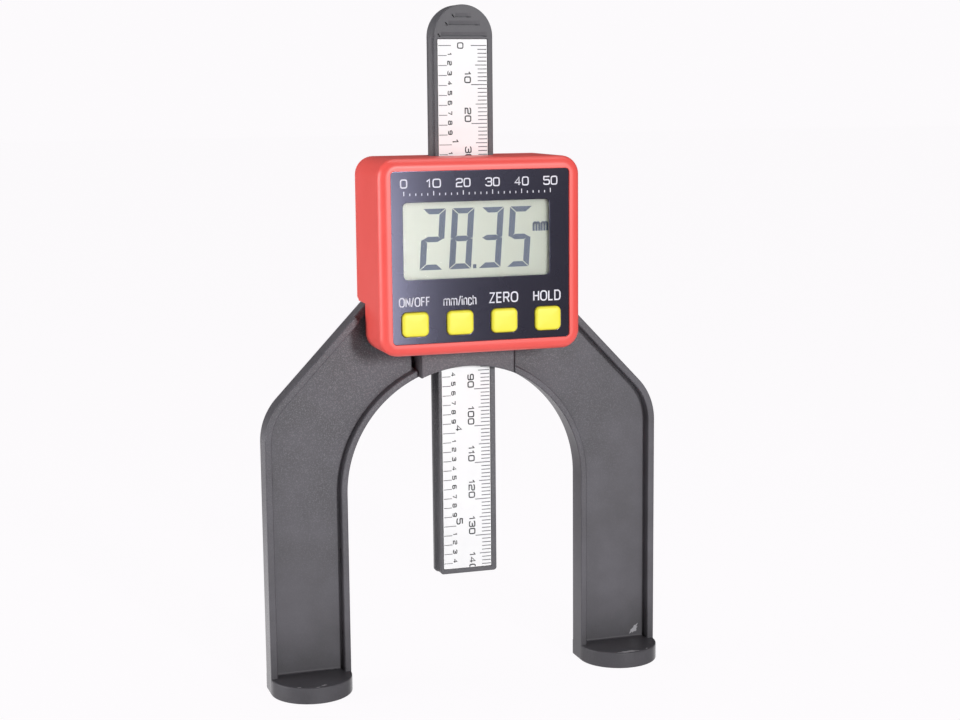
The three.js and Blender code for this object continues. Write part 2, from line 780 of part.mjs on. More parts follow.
function buildDisplay() {
  const lens = centredRectangle(
    windowShift, windowLevel, windowWidth + 2 * lensMargin, windowHeight + 2 * lensMargin,
    windowCorner,
  );
  place('display_lens', slab(lens, faceplateBack, lensBack), clearAcrylic);

  const cellWidth = windowWidth + 2 * cellMargin;
  const cellTall = windowHeight + 2 * cellMargin;
  const cell = box(
    windowShift - cellWidth / 2, windowShift + cellWidth / 2, displayFront, displayBack,
    windowLevel - cellTall / 2, windowLevel + cellTall / 2,
  );
  place('lcd_cell', cell, displayGlass);

  const inner = box(
    windowShift - cellWidth / 2 - seatGap, windowShift + cellWidth / 2 + seatGap,
    displayFront - overrun, -displayBoardDepth + overrun,
    windowLevel - cellTall / 2 - seatGap, windowLevel + cellTall / 2 + seatGap,
  );
  const wall = seatGap + holderWall;
  const outer = box(
    windowShift - cellWidth / 2 - wall, windowShift + cellWidth / 2 + wall,
    displayFront, -displayBoardDepth,
    windowLevel - cellTall / 2 - wall, windowLevel + cellTall / 2 + wall,
  );
  place('lcd_holder', solidOf(outer).subtract(solidOf(inner)), whiteHolder);

  for (const [name, sign] of [['upper', 1], ['lower', -1]]) {
    const level = windowLevel + sign * (cellTall / 2 - zebraWidth);
    const zebra = box(
      windowShift - windowWidth / 2, windowShift + windowWidth / 2, displayBack,
      -displayBoardDepth, level - zebraWidth / 2, level + zebraWidth / 2,
    );
    place(`zebra_strip_${name}`, zebra, greyElastomer);
  }
}

function buildDisplayBoard() {
  const half = innerHalf - displayBoardMargin;
  const low = housingBottom + housingWall + displayBoardMargin;
  const high = housingTop - housingWall - displayBoardMargin;
  const outline = roundedRectangle(-half, half, low, high, displayBoardMargin);
  let board = solidOf(slab(outline, -displayBoardDepth, boardBack));
  for (const boss of [topBoss, lowBoss]) {
    const notch = pin(
      bossDiameter + 2 * seatGap, -displayBoardDepth - overrun, boardBack + overrun, boss.x, boss.z,
    );
    board = board.subtract(onBothSides(solidOf(notch)));
  }
  for (const screw of boardScrews) {
    const hole = pin(
      smallScrewDiameter + 2 * seatGap, -displayBoardDepth - overrun, boardBack + overrun,
      screw.x, screw.z,
    );
    board = board.subtract(solidOf(hole));
  }
  place('display_board', board, greenBoard);

  const dome = [
    new THREE.Vector2(0, 0),
    new THREE.Vector2(chipDiameter / 2, 0),
    new THREE.Vector2(chipDiameter / 2 - chipHeight / 4, chipHeight / 2),
    new THREE.Vector2(chipDiameter / 2 - chipHeight, chipHeight),
    new THREE.Vector2(0, chipHeight),
  ];
  const chip = new THREE.LatheGeometry(dome, roundSides);
  chip.translate(0, boardBack, housingTop - chipDrop);
  place('controller_chip', chip, blackResin);

  const headerLevel = housingTop - headerDrop;
  const header = box(
    -headerWidth / 2, headerWidth / 2, boardBack, channelFront - boardThickness,
    headerLevel - headerHeight / 2, headerLevel + headerHeight / 2,
  );
  place('board_header', header, blackSwitch);
}

function buildSensorBoard() {
  let board = solidOf(box(
    -towerHalfWidth, towerHalfWidth, channelFront - boardThickness, channelFront,
    noseTop + sensorBoardMargin, towerTop - sensorBoardMargin,
  ));
  for (const z of sensorScrewLevels) {
    const hole = pin(
      smallScrewDiameter + 2 * seatGap, channelFront - boardThickness - overrun,
      channelFront + overrun, sensorScrewX, z,
    );
    board = board.subtract(onBothSides(solidOf(hole)));
  }
  place('sensor_board', board, greenBoard);
}

function buildButtons() {
  const flangeFront = wallBack + slideGap / 2;
  const flangeBack = flangeFront + buttonFlangeThickness;
  const switchFront = -displayBoardDepth - switchHeight;
  for (const column of buttonColumns) {
    const face = centredRectangle(column.x, buttonLevel, buttonWidth, buttonHeight, buttonCorner);
    const cap = solidOf(roundedSlab(face, buttonFace, flangeBack, buttonEdge, 1));
    const flange = centredRectangle(
      column.x, buttonLevel, buttonWidth + 2 * buttonFlangeLip, buttonHeight + 2 * buttonFlangeLip,
      buttonCorner,
    );
    const button = cap.add(solidOf(slab(flange, flangeFront, flangeBack)));
    place(`button_${column.name}`, button, yellowRubber);

    const wellBottom = switchFront + plungerWell;
    const plungerEnd = wellBottom - plungerWell / 2;
    const plunger = pin(plungerDiameter, flangeBack, plungerEnd, column.x, buttonLevel);
    place(`switch_plunger_${column.name}`, plunger, whiteNylon);

    const body = box(
      column.x - switchWidth / 2, column.x + switchWidth / 2, switchFront, -displayBoardDepth,
      buttonLevel - switchWidth / 2, buttonLevel + switchWidth / 2,
    );
    const well = pin(
      plungerDiameter + 2 * slideGap, switchFront - overrun, wellBottom, column.x, buttonLevel,
    );
    place(`switch_base_${column.name}`, solidOf(body).subtract(solidOf(well)), blackSwitch);
  }
}

function buildBeam() {
  const half = beamWidth / 2;
  const outline = polygon([
    [-half + beamEdge, tipLevel],
    [half - beamEdge, tipLevel],
    [half, tipLevel + beamEdge],
    ...arc(0, beamTop - half, half, 0, Math.PI, beamTopSteps),
    [-half, tipLevel + beamEdge],
  ]);
  let beam = solidOf(roundedSlab(outline, 0, beamDepth, beamEdge, 1));

  const groove = box(
    half - sideGrooveDepth, half + overrun, sideGrooveSetback, sideGrooveSetback + sideGrooveWidth,
    tipLevel + sideGrooveEndMargin, beamTop - half,
  );
  beam = beam.subtract(onBothSides(solidOf(groove)));

  const seatDepth = labelSink + labelThickness + stripThickness;
  const seatHalf = labelWidth / 2 + slideGap;
  const seat = box(
    -seatHalf, seatHalf, -overrun, seatDepth,
    tipLevel + labelTipMargin - slideGap, scaleZero + labelAboveZero + slideGap,
  );
  beam = beam.subtract(solidOf(seat));

  gripWidths.forEach((width, i) => {
    const step = beamTop - gripDrops[i];
    const ramp = polygon([
      [-overrun, step],
      [gripNotchDepth, step],
      [0, step - gripNotchRun],
      [-overrun, step - gripNotchRun],
    ]);
    beam = beam.subtract(solidOf(sideSlab(ramp, -width / 2, width / 2)));
  });
  place('beam', beam, blackNylon);

  const scaleLow = tipLevel + labelTipMargin;
  const scaleHigh = scaleZero + labelAboveZero;
  const labelBack = labelSink + labelThickness;
  const strip = box(-labelWidth / 2, labelWidth / 2, labelBack, seatDepth, scaleLow, scaleHigh);
  place('scale_strip', strip, greenBoard);
  const label = box(-labelWidth / 2, labelWidth / 2, labelSink, labelBack, scaleLow, scaleHigh);
  place('scale_label', label, whiteFilm);
}

function buildGib() {
  const gibLeft = beamWidth / 2 + gibRunningGap;
  const gibRight = gibLeft + gibThickness;
  const front = (beamDepth - gibWidth) / 2;
  const back = (beamDepth + gibWidth) / 2;
  place('gib_strip', box(gibLeft, gibRight, front, back, gibLow, gibHigh), brass);

  // A leaf bowed towards the gib, its ends resting in the pocket
  const inner = [];
  const outer = [];
  for (let i = 0; i <= springSteps; i += 1) {
    const share = i / springSteps;
    const x = gibRight + springRoom - 4 * springBow * share * (1 - share);
    const z = gibLow + share * (gibHigh - gibLow);
    inner.push([x, z]);
    outer.unshift([x + springThickness, z]);
  }
  place('friction_spring', slab(polygon([...inner, ...outer]), front, back), steel);
}

function buildLock() {
  const bossEnd = guideBack + lockBossReach;
  const insert = solidOf(pin(insertDiameter, bossEnd - insertLength + seatGap, bossEnd, 0, lockHeight));
  const bore = solidOf(pin(lockBore, channelBack, coverBack + overrun, 0, lockHeight));
  place('lock_insert', insert.subtract(bore), brass);

  const padFront = beamDepth + slideGap;
  const padBack = padFront + padThickness;
  place('lock_pad', pin(padDiameter, padFront, padBack, 0, lockHeight), whiteNylon);

  const knobFront = coverBack + lockKnobStandoff;
  const rim = [];
  for (let i = 0; i < 2 * lockKnobRidges; i += 1) {
    const angle = (i * Math.PI) / lockKnobRidges;
    const radius = lockKnobDiameter / 2 - (i % 2) * lockKnobRidgeHeight;
    rim.push([radius * Math.cos(angle), lockHeight + radius * Math.sin(angle)]);
  }
  const knob = solidOf(slab(polygon(rim), knobFront, knobBack));
  const shank = solidOf(pin(lockShankDiameter, padBack, knobBack - seatGap, 0, lockHeight));
  place('lock_screw', knob.add(shank), blackCover);
}

// A pan-head screw along Y; its head looks along +Y when facing is 1 and -Y when it is -1.
function screw(name, x, z, underHead, bite, facing, size) {
  const tip = underHead - facing * bite;
  const top = underHead + facing * size.headHeight;
  const root = underHead + facing * (size.headHeight / 4);
  const shank = pin(size.shank, Math.min(tip, root), Math.max(tip, root), x, z, screwSides);
  const head = pin(size.head, Math.min(underHead, top), Math.max(underHead, top), x, z, screwSides);
  let whole = solidOf(shank).add(solidOf(head));
  const floor = top - facing * (size.headHeight / 2);
  const reach = size.head / 2 - size.slot;
  const front = Math.min(floor, top + facing * overrun);
  const back = Math.max(floor, top + facing * overrun);
  const across = box(x - reach, x + reach, front, back, z - size.slot / 2, z + size.slot / 2);
  const upright = box(x - size.slot / 2, x + size.slot / 2, front, back, z - reach, z + reach);
  whole = whole.subtract(solidOf(across)).subtract(solidOf(upright));
  place(name, whole, steel);
}

function buildScrews() {
  const large = {
    shank: screwDiameter, head: screwHeadDiameter, headHeight: screwHeadHeight, slot: screwSlot,
  };
  const small = {
    shank: smallScrewDiameter,
    head: smallScrewHead,
    headHeight: smallScrewHeadHeight,
    slot: screwSlot / 2,
  };
  const coverSeat = coverBack - screwHeadHeight - seatGap;
  const coverBite = coverSeat - guideBack + screwBite;
  const bridgeSeat = bridgeDepth - screwHeadHeight - seatGap;
  const bridgeBite = bridgeSeat - housingSeatSink + screwBite;
  for (const [side, sign] of [['left', -1], ['right', 1]]) {
    screw(`cover_screw_${side}`, sign * topBoss.x, topBoss.z, coverSeat, coverBite, 1, large);
    screw(`bridge_screw_${side}`, sign * lowBoss.x, lowBoss.z, bridgeSeat, bridgeBite, 1, large);
  }
  for (const spot of boardScrews) {
    const bite = smallScrewBite + boardThickness;
    screw(`display_board_screw_${spot.name}`, spot.x, spot.z, boardBack, bite, 1, small);
  }
  const sensorFace = channelFront - boardThickness;
  const [lower, upper] = sensorScrewLevels;
  for (const [side, sign] of [['left', -1], ['right', 1]]) {
    for (const [end, z] of [['lower', lower], ['upper', upper]]) {
      const bite = smallScrewBite + boardThickness;
      screw(`sensor_board_screw_${end}_${side}`, sign * sensorScrewX, z, sensorFace, bite, -1, small);
    }
  }
}

buildBridge();
buildMagnets();
buildShell();
buildBackCover();
buildBatteryDoor();
buildBattery();
buildFaceplate();
buildDisplay();
buildDisplayBoard();
buildSensorBoard();
buildButtons();
buildBeam();
buildGib();
buildLock();
buildScrews();

export default gauge;
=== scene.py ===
# %% [markdown]
# # A digital depth gauge
# The gauge is a black moulded bridge on two magnetic feet, a red display housing, and a black
# beam with a printed scale that slides through both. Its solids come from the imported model; this
# lesson dresses them. All sizes below are millimetres from the front face of the beam, the middle
# of the bridge and the floor, because that is how the gauge itself is dimensioned.

# %% Load the frame
import math

import bmesh
import bpy
import numpy as np
from mathutils import Matrix, Vector
from mathutils.geometry import tessellate_polygon


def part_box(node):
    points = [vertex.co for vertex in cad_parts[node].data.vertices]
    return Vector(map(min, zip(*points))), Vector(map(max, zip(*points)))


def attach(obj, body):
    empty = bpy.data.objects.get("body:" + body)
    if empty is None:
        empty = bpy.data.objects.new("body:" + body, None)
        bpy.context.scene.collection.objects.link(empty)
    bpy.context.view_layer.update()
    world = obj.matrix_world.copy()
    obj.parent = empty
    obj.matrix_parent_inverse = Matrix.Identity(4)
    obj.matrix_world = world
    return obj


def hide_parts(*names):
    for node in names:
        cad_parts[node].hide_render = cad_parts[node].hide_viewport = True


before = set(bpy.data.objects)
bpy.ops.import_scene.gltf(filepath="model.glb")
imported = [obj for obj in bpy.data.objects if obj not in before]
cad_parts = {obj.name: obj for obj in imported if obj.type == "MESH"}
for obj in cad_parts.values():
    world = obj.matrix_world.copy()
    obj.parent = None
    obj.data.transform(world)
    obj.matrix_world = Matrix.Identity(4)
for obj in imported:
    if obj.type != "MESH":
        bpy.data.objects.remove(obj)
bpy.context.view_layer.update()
MM = 0.001
beam_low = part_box("beam")[0]
FRONT = beam_low.y / MM  # the beam's front face in the row's frame
print("nodes", len(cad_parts), "beam front at", round(FRONT, 4), "mm")

# %% [markdown]
# ## Camera
# The photograph was taken from the left of the gauge and a little above it. The place, the turn
# and the focal length below come from a fit to the printed scale, so the view is set directly
# from three angles and a lens, and nothing is tilted by eye.

# %% Place the camera
def look(place, yaw, pitch, roll, focal_pixels):
    """A camera at place, turned right by yaw, down by pitch and about its own axis by roll, degrees.

    Forward is (sin yaw cos pitch, cos yaw cos pitch, -sin pitch); right is level; up is their
    cross product; the roll turns right and up in their own plane. The lens is the focal length in
    pixels times the sensor's width over 960."""
    yaw, pitch, roll = np.radians([yaw, pitch, roll])
    ahead = np.array([
        math.sin(yaw) * math.cos(pitch), math.cos(yaw) * math.cos(pitch), -math.sin(pitch)])
    level = np.array([math.cos(yaw), -math.sin(yaw), 0.0])
    upright = np.cross(level, ahead)
    right = level * math.cos(roll) + upright * math.sin(roll)
    up = -level * math.sin(roll) + upright * math.cos(roll)
    camera = bpy.data.objects.new("camera", bpy.data.cameras.new("camera"))
    bpy.context.scene.collection.objects.link(camera)
    turn = Matrix((right, up, -ahead)).transposed().to_4x4()
    camera.matrix_world = Matrix.Translation(Vector(place) * MM) @ turn
    camera.data.sensor_width = 36.0
    camera.data.lens = focal_pixels * 36.0 / 960.0
    bpy.context.scene.camera = camera
    return camera


camera = look((-138.56, -442.07 + FRONT, 156.51), 17.871, 8.62, -0.539, 1768.3)
print("lens", round(camera.data.lens, 2), "mm")

# %% [markdown]
# ## Surfaces from numbers
# Nearly every piece is a plate: an outline with rounded edges, sometimes with holes. So the
# helpers make an outline, move it inwards by a distance, stretch quads between such rings, and
# fill the flat faces at the ends. A narrow ring just inside each flat face keeps the rounding's
# shading from spreading over it.

# %% Outlines
def arc(x, z, radius, start, end, steps):
    """Points at x + radius cos a, z + radius sin a, for angles from start to end in degrees."""
    a = np.radians(np.linspace(start, end, steps + 1))
    return np.column_stack([x + radius * np.cos(a), z + radius * np.sin(a)])


def rounded(left, right, low, high, corner, steps=6):
    """A rectangle with quarter-circle corners, counter-clockwise from the lower right."""
    return np.vstack([
        arc(right - corner, low + corner, corner, -90, 0, steps),
        arc(right - corner, high - corner, corner, 0, 90, steps),
        arc(left + corner, high - corner, corner, 90, 180, steps),
        arc(left + corner, low + corner, corner, 180, 270, steps),
    ])


def unit(v):
    """The vectors with length one; a vector of no length stays as it is."""
    return v / np.maximum(np.linalg.norm(v, axis=-1, keepdims=True), 1e-12)


def inset(loop, distance):
    """Each point moves inwards along the bisector of its two sides, far enough that both sides
    move by distance: the sum of the sides' normals over one plus their dot product."""
    along = unit(np.roll(loop, -1, axis=0) - loop)
    normal = np.column_stack([-along[:, 1], along[:, 0]])
    before = np.roll(normal, 1, axis=0)
    bisector = (normal + before) / (1 + np.sum(normal * before, axis=1, keepdims=True))
    return loop + bisector * np.reshape(distance, (-1, 1))


def at(loop, depth):
    """The outline's points (across, up) at a depth: x, y, z."""
    return np.column_stack([loop[:, 0], np.broadcast_to(depth, len(loop)), loop[:, 1]])


# %% Surfaces
def skin(rings, closed=True):
    """Quads between rings[i] and rings[i + 1], each ring closed on itself if closed is set."""
    grid = np.stack(rings)
    index = np.arange(grid.shape[0] * grid.shape[1]).reshape(grid.shape[:2])
    index = np.hstack([index, index[:, :1]]) if closed else index
    quads = np.stack([index[:-1, :-1], index[1:, :-1], index[1:, 1:], index[:-1, 1:]], axis=-1)
    return grid.reshape(-1, 3), quads.reshape(-1, 4)


def fill(*loops):
    """A flat face inside the first loop and outside the others, cut into triangles."""
    triangles = tessellate_polygon([[Vector(p) for p in loop] for loop in loops])
    return np.vstack(loops), np.array(triangles)


HOLD = 0.06  # width of the ring that holds a flat face's shading


def rounding(front, back, front_radius, back_radius, steps):
    """(inset, depth) pairs of a wall: a quarter circle in, the straight wall, a quarter circle out.
    A wall with room for it gets a holding ring beside each rounding too."""
    a = np.radians(np.linspace(0, 90, steps + 1))
    lead = np.column_stack([front_radius * (1 - np.sin(a)), front + front_radius * (1 - np.cos(a))])
    tail = np.column_stack([back_radius * (1 - np.cos(a)), back - back_radius * (1 - np.sin(a))])
    near, far = front + front_radius + HOLD, back - back_radius - HOLD
    middle = [[0.0, near], [0.0, far]] if far - near > 2 * HOLD else np.empty((0, 2))
    return np.vstack([[[front_radius + HOLD, front]], lead, middle, tail, [[back_radius + HOLD, back]]])


def plate(outline, front, back, front_radius=0.3, back_radius=0.3, holes=(), hole_radius=0.1, steps=4):
    """A plate from depth front to depth back with rounded edges: rings of the outline at the
    insets of the rounding, and the same with the sign turned round for each hole."""
    walls = [[at(inset(outline, d), y) for d, y in
              rounding(front, back, front_radius, back_radius, steps)]]
    for hole in holes:
        walls.append([at(inset(hole, -d), y) for d, y in
                      rounding(front, back, hole_radius, hole_radius, 2)])
    parts = [skin(rings) for rings in walls]
    parts.append(fill(*[rings[0] for rings in walls]))
    parts.append(fill(*[rings[-1] for rings in walls]))
    return parts


def turned(parts, order):
    """The same surfaces with their axes exchanged, such as (0, 2, 1) for a plate that lies flat."""
    return [(points[:, order], faces) for points, faces in parts]


def moved(parts, shift):
    """The same surfaces, moved by shift."""
    return [(points + np.array(shift), faces) for points, faces in parts]


def mirrored(parts):
    """The same surfaces on the other side of the middle; their faces are turned back later."""
    return [(points * np.array([-1, 1, 1]), faces) for points, faces in parts]


def solid_of_turning(profile, centre, sides=48):
    """A profile of (radius, depth) turned about an axis along Y through centre (across, up)."""
    a = np.radians(np.arange(sides) * 360 / sides)
    rings = [np.column_stack([
        centre[0] + r * np.cos(a), np.full(sides, y), centre[1] + r * np.sin(a)]) for r, y in profile]
    return [skin(rings), fill(rings[0]), fill(rings[-1])]


# %% [markdown]
# ## From surfaces to pieces
# A piece is one mesh. Its doubled points are merged, its faces are turned outwards, and it is
# shaded smooth except where two faces meet at a clear edge. It stays at the origin, unturned, and
# rides on one of the model's bodies, so it moves as the real piece does.

# %% Pieces
def piece(name, parts, finish, body, stands_for=(), edge=32):
    """Joins surfaces in millimetres into one object in metres, in the row's frame."""
    points, faces, count = [], [], 0
    for some, quads in parts:
        points.append(some)
        faces.extend((quads + count).tolist())
        count += len(some)
    points = (np.vstack(points) + np.array([0.0, FRONT, 0.0])) * MM
    mesh = bpy.data.meshes.new(name)
    mesh.from_pydata(points, [], faces)
    work = bmesh.new()
    work.from_mesh(mesh)
    bmesh.ops.remove_doubles(work, verts=work.verts, dist=1e-6)
    bmesh.ops.recalc_face_normals(work, faces=work.faces)
    work.to_mesh(mesh)
    work.free()
    mesh.polygons.foreach_set("use_smooth", np.ones(len(mesh.polygons), bool))
    mesh.set_sharp_from_angle(angle=math.radians(edge))
    thing = bpy.data.objects.new(name, mesh)
    bpy.context.scene.collection.objects.link(thing)
    mesh.materials.append(finish)
    if body:
        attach(thing, body)
    if stands_for:
        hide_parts(*stands_for)
    print(name, len(mesh.polygons), "faces")
    return thing


# %% [markdown]
# Some openings go through a curved wall, where no ring of the loft can follow them. Those are cut
# with a boolean for closed solids: the cutter is a solid of its own, which is removed afterwards.

# %% Cutting
def cut(thing, *cutters, edge=40):
    """Takes each cutter, a list of surfaces in millimetres, out of the object's mesh."""
    for parts in cutters:
        tool = piece("cutter", parts, thing.data.materials[0], None)
        step = thing.modifiers.new("cut", "BOOLEAN")
        step.operation = "DIFFERENCE"
        step.solver = "MANIFOLD"
        step.object = tool
        whole = thing.evaluated_get(bpy.context.evaluated_depsgraph_get())
        mesh = bpy.data.meshes.new_from_object(whole)
        thing.modifiers.clear()
        old, thing.data = thing.data, mesh
        name = old.name
        for spare in (old, tool.data):
            bpy.data.meshes.remove(spare)
        mesh.name = name
    mesh = thing.data
    mesh.polygons.foreach_set("use_smooth", np.ones(len(mesh.polygons), bool))
    mesh.set_sharp_from_angle(angle=math.radians(edge))
    print(thing.name, "cut", len(mesh.polygons), "faces")


# %% [markdown]
# ## Finishes
# Each finish starts from what the real material is. Colours are written as they are seen (sRGB)
# and turned to linear once. One helper adds a node with its settings and its links, and patterns
# read object coordinates in metres, so a grain of 0.3 mm has a scale of one over 0.0003.

# %% Node helpers
def linear(colour):
    """sRGB hex to linear: c / 12.92 below 0.04045, else ((c + 0.055) / 1.055) to the power 2.4."""
    c = np.array([int(colour[i:i + 2], 16) for i in (1, 3, 5)]) / 255
    c = np.where(c <= 0.04045, c / 12.92, ((c + 0.055) / 1.055) ** 2.4)
    return (*c.tolist(), 1.0)


def node(tree, kind, inputs=None, **settings):
    """One node of that kind, with its settings; each input is a value or another node's output."""
    made = tree.nodes.new(kind)
    for key, value in settings.items():
        setattr(made, key, value)
    for key, value in (inputs or {}).items():
        if isinstance(value, bpy.types.NodeSocket):
            tree.links.new(value, made.inputs[key])
        else:
            made.inputs[key].default_value = value
    return made


def finish(name, colour, roughness, **sockets):
    """A material with one Principled shader; returns it, its node tree and the shader."""
    material = bpy.data.materials.new(name)
    material.use_nodes = True
    tree = material.node_tree
    shader = tree.nodes["Principled BSDF"]
    shader.inputs["Base Color"].default_value = linear(colour)
    shader.inputs["Roughness"].default_value = roughness
    for key, value in sockets.items():
        shader.inputs[key.replace("_", " ")].default_value = value
    return material, tree, shader


def per_mm(size):
    """The texture scale whose features are about size millimetres across."""
    return 1 / (size * MM)


def grain(tree, shader, size, height, detail=2.0):
    """Bump from a noise of that grain size and height, both in millimetres. Returns the object
    coordinates, which the finish's other patterns read too."""
    where = node(tree, "ShaderNodeTexCoord").outputs["Object"]
    noise = node(tree, "ShaderNodeTexNoise", {
        "Vector": where, "Scale": per_mm(size), "Detail": detail})
    bump = node(tree, "ShaderNodeBump", {
        "Height": noise.outputs["Fac"], "Distance": height * MM, "Strength": 1.0})
    tree.links.new(bump.outputs["Normal"], shader.inputs["Normal"])
    return where


def two_tones(tree, shader, source, dark, light, low, high):
    """Base colour between two hex tones, as source goes from low to high."""
    ramp = node(tree, "ShaderNodeValToRGB", {"Fac": source})
    ramp.color_ramp.elements[0].position = low
    ramp.color_ramp.elements[1].position = high
    ramp.color_ramp.elements[0].color = linear(dark)
    ramp.color_ramp.elements[1].color = linear(light)
    tree.links.new(ramp.outputs["Color"], shader.inputs["Base Color"])
    return ramp


# %% [markdown]
# ### Glass-filled nylon
# The bridge and the beam are moulded in black nylon with glass fibre. The mould is spark-eroded,
# which leaves a fine grain, and the fibres show as faint pale specks and clouds, so the colour is
# two noises: clouds of some millimetres, and specks of about a quarter of a millimetre. The
# specks are dense round the block, as near the gate of such a mould, and fade down the legs.
# Towards the feet the colour falls to six tenths: painted shade, for the light that falls off low
# down. A grainy wall looks smoother at a slant, where the eye meets only the tops of the grain, so
# the roughness falls to less than half there.

# %% Glass-filled nylon
GATE = (-12 * MM, 0.0, 92 * MM)  # the middle of the speckled region
FOOT_SHADE_FULL, FOOT_SHADE_END = 4.4 * MM, 19 * MM  # heights between which the painted shade on the feet fades out


def glass_nylon(name, dark, light, fleck):
    """Clouds between two tones; flecks that thin out away from the gate; painted shade that darkens
    the feet; a roughness that follows the clouds and falls at a slant."""
    material, tree, shader = finish(name, dark, 0.58, Specular_IOR_Level=0.48)
    where = grain(tree, shader, 0.3, 0.018, 3.0)
    clouds = node(tree, "ShaderNodeTexNoise", {"Vector": where, "Scale": per_mm(9), "Detail": 4.0})
    ramp = two_tones(tree, shader, clouds.outputs["Fac"], dark, light, 0.35, 0.68)
    specks = node(tree, "ShaderNodeTexNoise", {
        "Vector": where, "Scale": per_mm(0.24), "Detail": 2.0})
    spot = node(tree, "ShaderNodeMapRange", {
        "Value": specks.outputs["Fac"], "From Min": 0.5, "From Max": 0.72,
        "To Min": 0.0, "To Max": 0.75})
    reach = node(tree, "ShaderNodeVectorMath", {
        0: where, 1: GATE}, operation="DISTANCE").outputs["Value"]
    patches = node(tree, "ShaderNodeMapRange", {
        "Value": reach, "From Min": 10 * MM, "From Max": 75 * MM, "To Min": 1.0, "To Max": 0.1})
    amount = node(tree, "ShaderNodeMath", {
        0: spot.outputs[0], 1: patches.outputs[0]}, operation="MULTIPLY")
    mixed = node(tree, "ShaderNodeMix", {
        0: amount.outputs[0], 6: ramp.outputs["Color"], 7: linear(fleck)}, data_type="RGBA")
    height = node(tree, "ShaderNodeSeparateXYZ", {"Vector": where}).outputs["Z"]
    # Painted shade: the colour is multiplied down to 0.62 at the top of the foot, for light that falls
    # off low down.
    painted_foot_shade = node(tree, "ShaderNodeMapRange", {
        "Value": height, "From Min": FOOT_SHADE_FULL, "From Max": FOOT_SHADE_END, "To Min": 0.62, "To Max": 1.0})
    with_foot_shade = node(tree, "ShaderNodeMix", {
        0: 1.0, 6: mixed.outputs[2], 7: painted_foot_shade.outputs[0]}, data_type="RGBA", blend_type="MULTIPLY")
    tree.links.new(with_foot_shade.outputs[2], shader.inputs["Base Color"])
    rough = node(tree, "ShaderNodeMapRange", {
        "Value": clouds.outputs["Fac"], "To Min": 0.5, "To Max": 0.68})
    slant = node(tree, "ShaderNodeLayerWeight", {"Blend": 0.5})
    smoother = node(tree, "ShaderNodeMapRange", {
        "Value": slant.outputs["Facing"], "From Min": 0.55, "From Max": 0.82,
        "To Min": 1.0, "To Max": 0.4})
    seen = node(tree, "ShaderNodeMath", {
        0: rough.outputs[0], 1: smoother.outputs[0]}, operation="MULTIPLY")
    tree.links.new(seen.outputs[0], shader.inputs["Roughness"])
    return material


bridge_nylon = glass_nylon("glass_filled_nylon_bridge", "#4f4d52", "#5b595f", "#8b898f")
beam_nylon = glass_nylon("glass_filled_nylon_beam", "#525156", "#5e5d61", "#8b8a8e")

# %% [markdown]
# ### ABS, silicone, film and print
# The housing is red ABS from a satin mould. The buttons are yellow silicone. The faceplate is a
# film printed on its back, so it is smooth and dark with a soft reflection. Printing inks are
# matt, and lie a few hundredths of a millimetre proud.

# %% Plastics and prints
def plain(name, colour, roughness, size, height, tone, **sockets):
    """A moulded or printed surface: one colour with slow clouds of a second tone, and a grain."""
    material, tree, shader = finish(name, colour, roughness, **sockets)
    where = grain(tree, shader, size, height)
    clouds = node(tree, "ShaderNodeTexNoise", {"Vector": where, "Scale": per_mm(14), "Detail": 3.0})
    two_tones(tree, shader, clouds.outputs["Fac"], colour, tone, 0.35, 0.7)
    return material


def rubber(name, colour, slant_shade):
    """Yellow silicone with painted shade on its sides and soft edges: the colour goes to a darker
    amber tone where the eye meets it at a slant, as the facing share of Layer Weight rises."""
    material, tree, shader = finish(name, colour, 0.45)
    grain(tree, shader, 0.3, 0.004)
    slant = node(tree, "ShaderNodeLayerWeight", {"Blend": 0.5})
    # Painted shade: the darker amber at a slant stands in for shade on the cap's sides and edges.
    two_tones(tree, shader, slant.outputs["Facing"], colour, slant_shade, 0.55, 0.95)
    return material


red_abs = plain("red_abs_moulded", "#ee554e", 0.4, 0.4, 0.004, "#f05a54", Specular_IOR_Level=0.5)
yellow_silicone = rubber("yellow_silicone_rubber", "#f4eb44", "#e3ae1a")
faceplate_film = plain("printed_polycarbonate_film", "#24222b", 0.14, 0.6, 0.0006, "#29272f",
                       Specular_IOR_Level=0.9, Specular_Tint=linear("#dadaff"))
white_ink = plain("white_screen_print", "#dddbe5", 0.6, 0.2, 0.002, "#e6e4ec")
label_paper = plain("white_vinyl_label", "#f0f0f1", 0.5, 0.3, 0.002, "#f5f5f6")
grey_ink = plain("grey_label_print", "#4d4d52", 0.6, 0.2, 0.001, "#5c5c61")
black_ink = plain("black_label_print", "#242428", 0.6, 0.2, 0.001, "#2e2e33")
black_moulding = plain("black_abs_moulding", "#2b2a2d", 0.5, 0.4, 0.006, "#333235")
switch_plastic = plain("black_switch_plastic", "#1d1d20", 0.45, 0.4, 0.003, "#232327")
natural_nylon = plain("natural_nylon", "#e2dfd3", 0.5, 0.5, 0.003, "#e9e6dc")
holder_plastic = plain("white_polycarbonate", "#dededa", 0.45, 0.5, 0.003, "#e8e8e4")
contact_elastomer = plain("grey_silicone_contact_strip", "#7c7c80", 0.6, 0.25, 0.004, "#8e8e92")
chip_resin = plain("black_epoxy_dome", "#111114", 0.25, 1.5, 0.01, "#17171a")
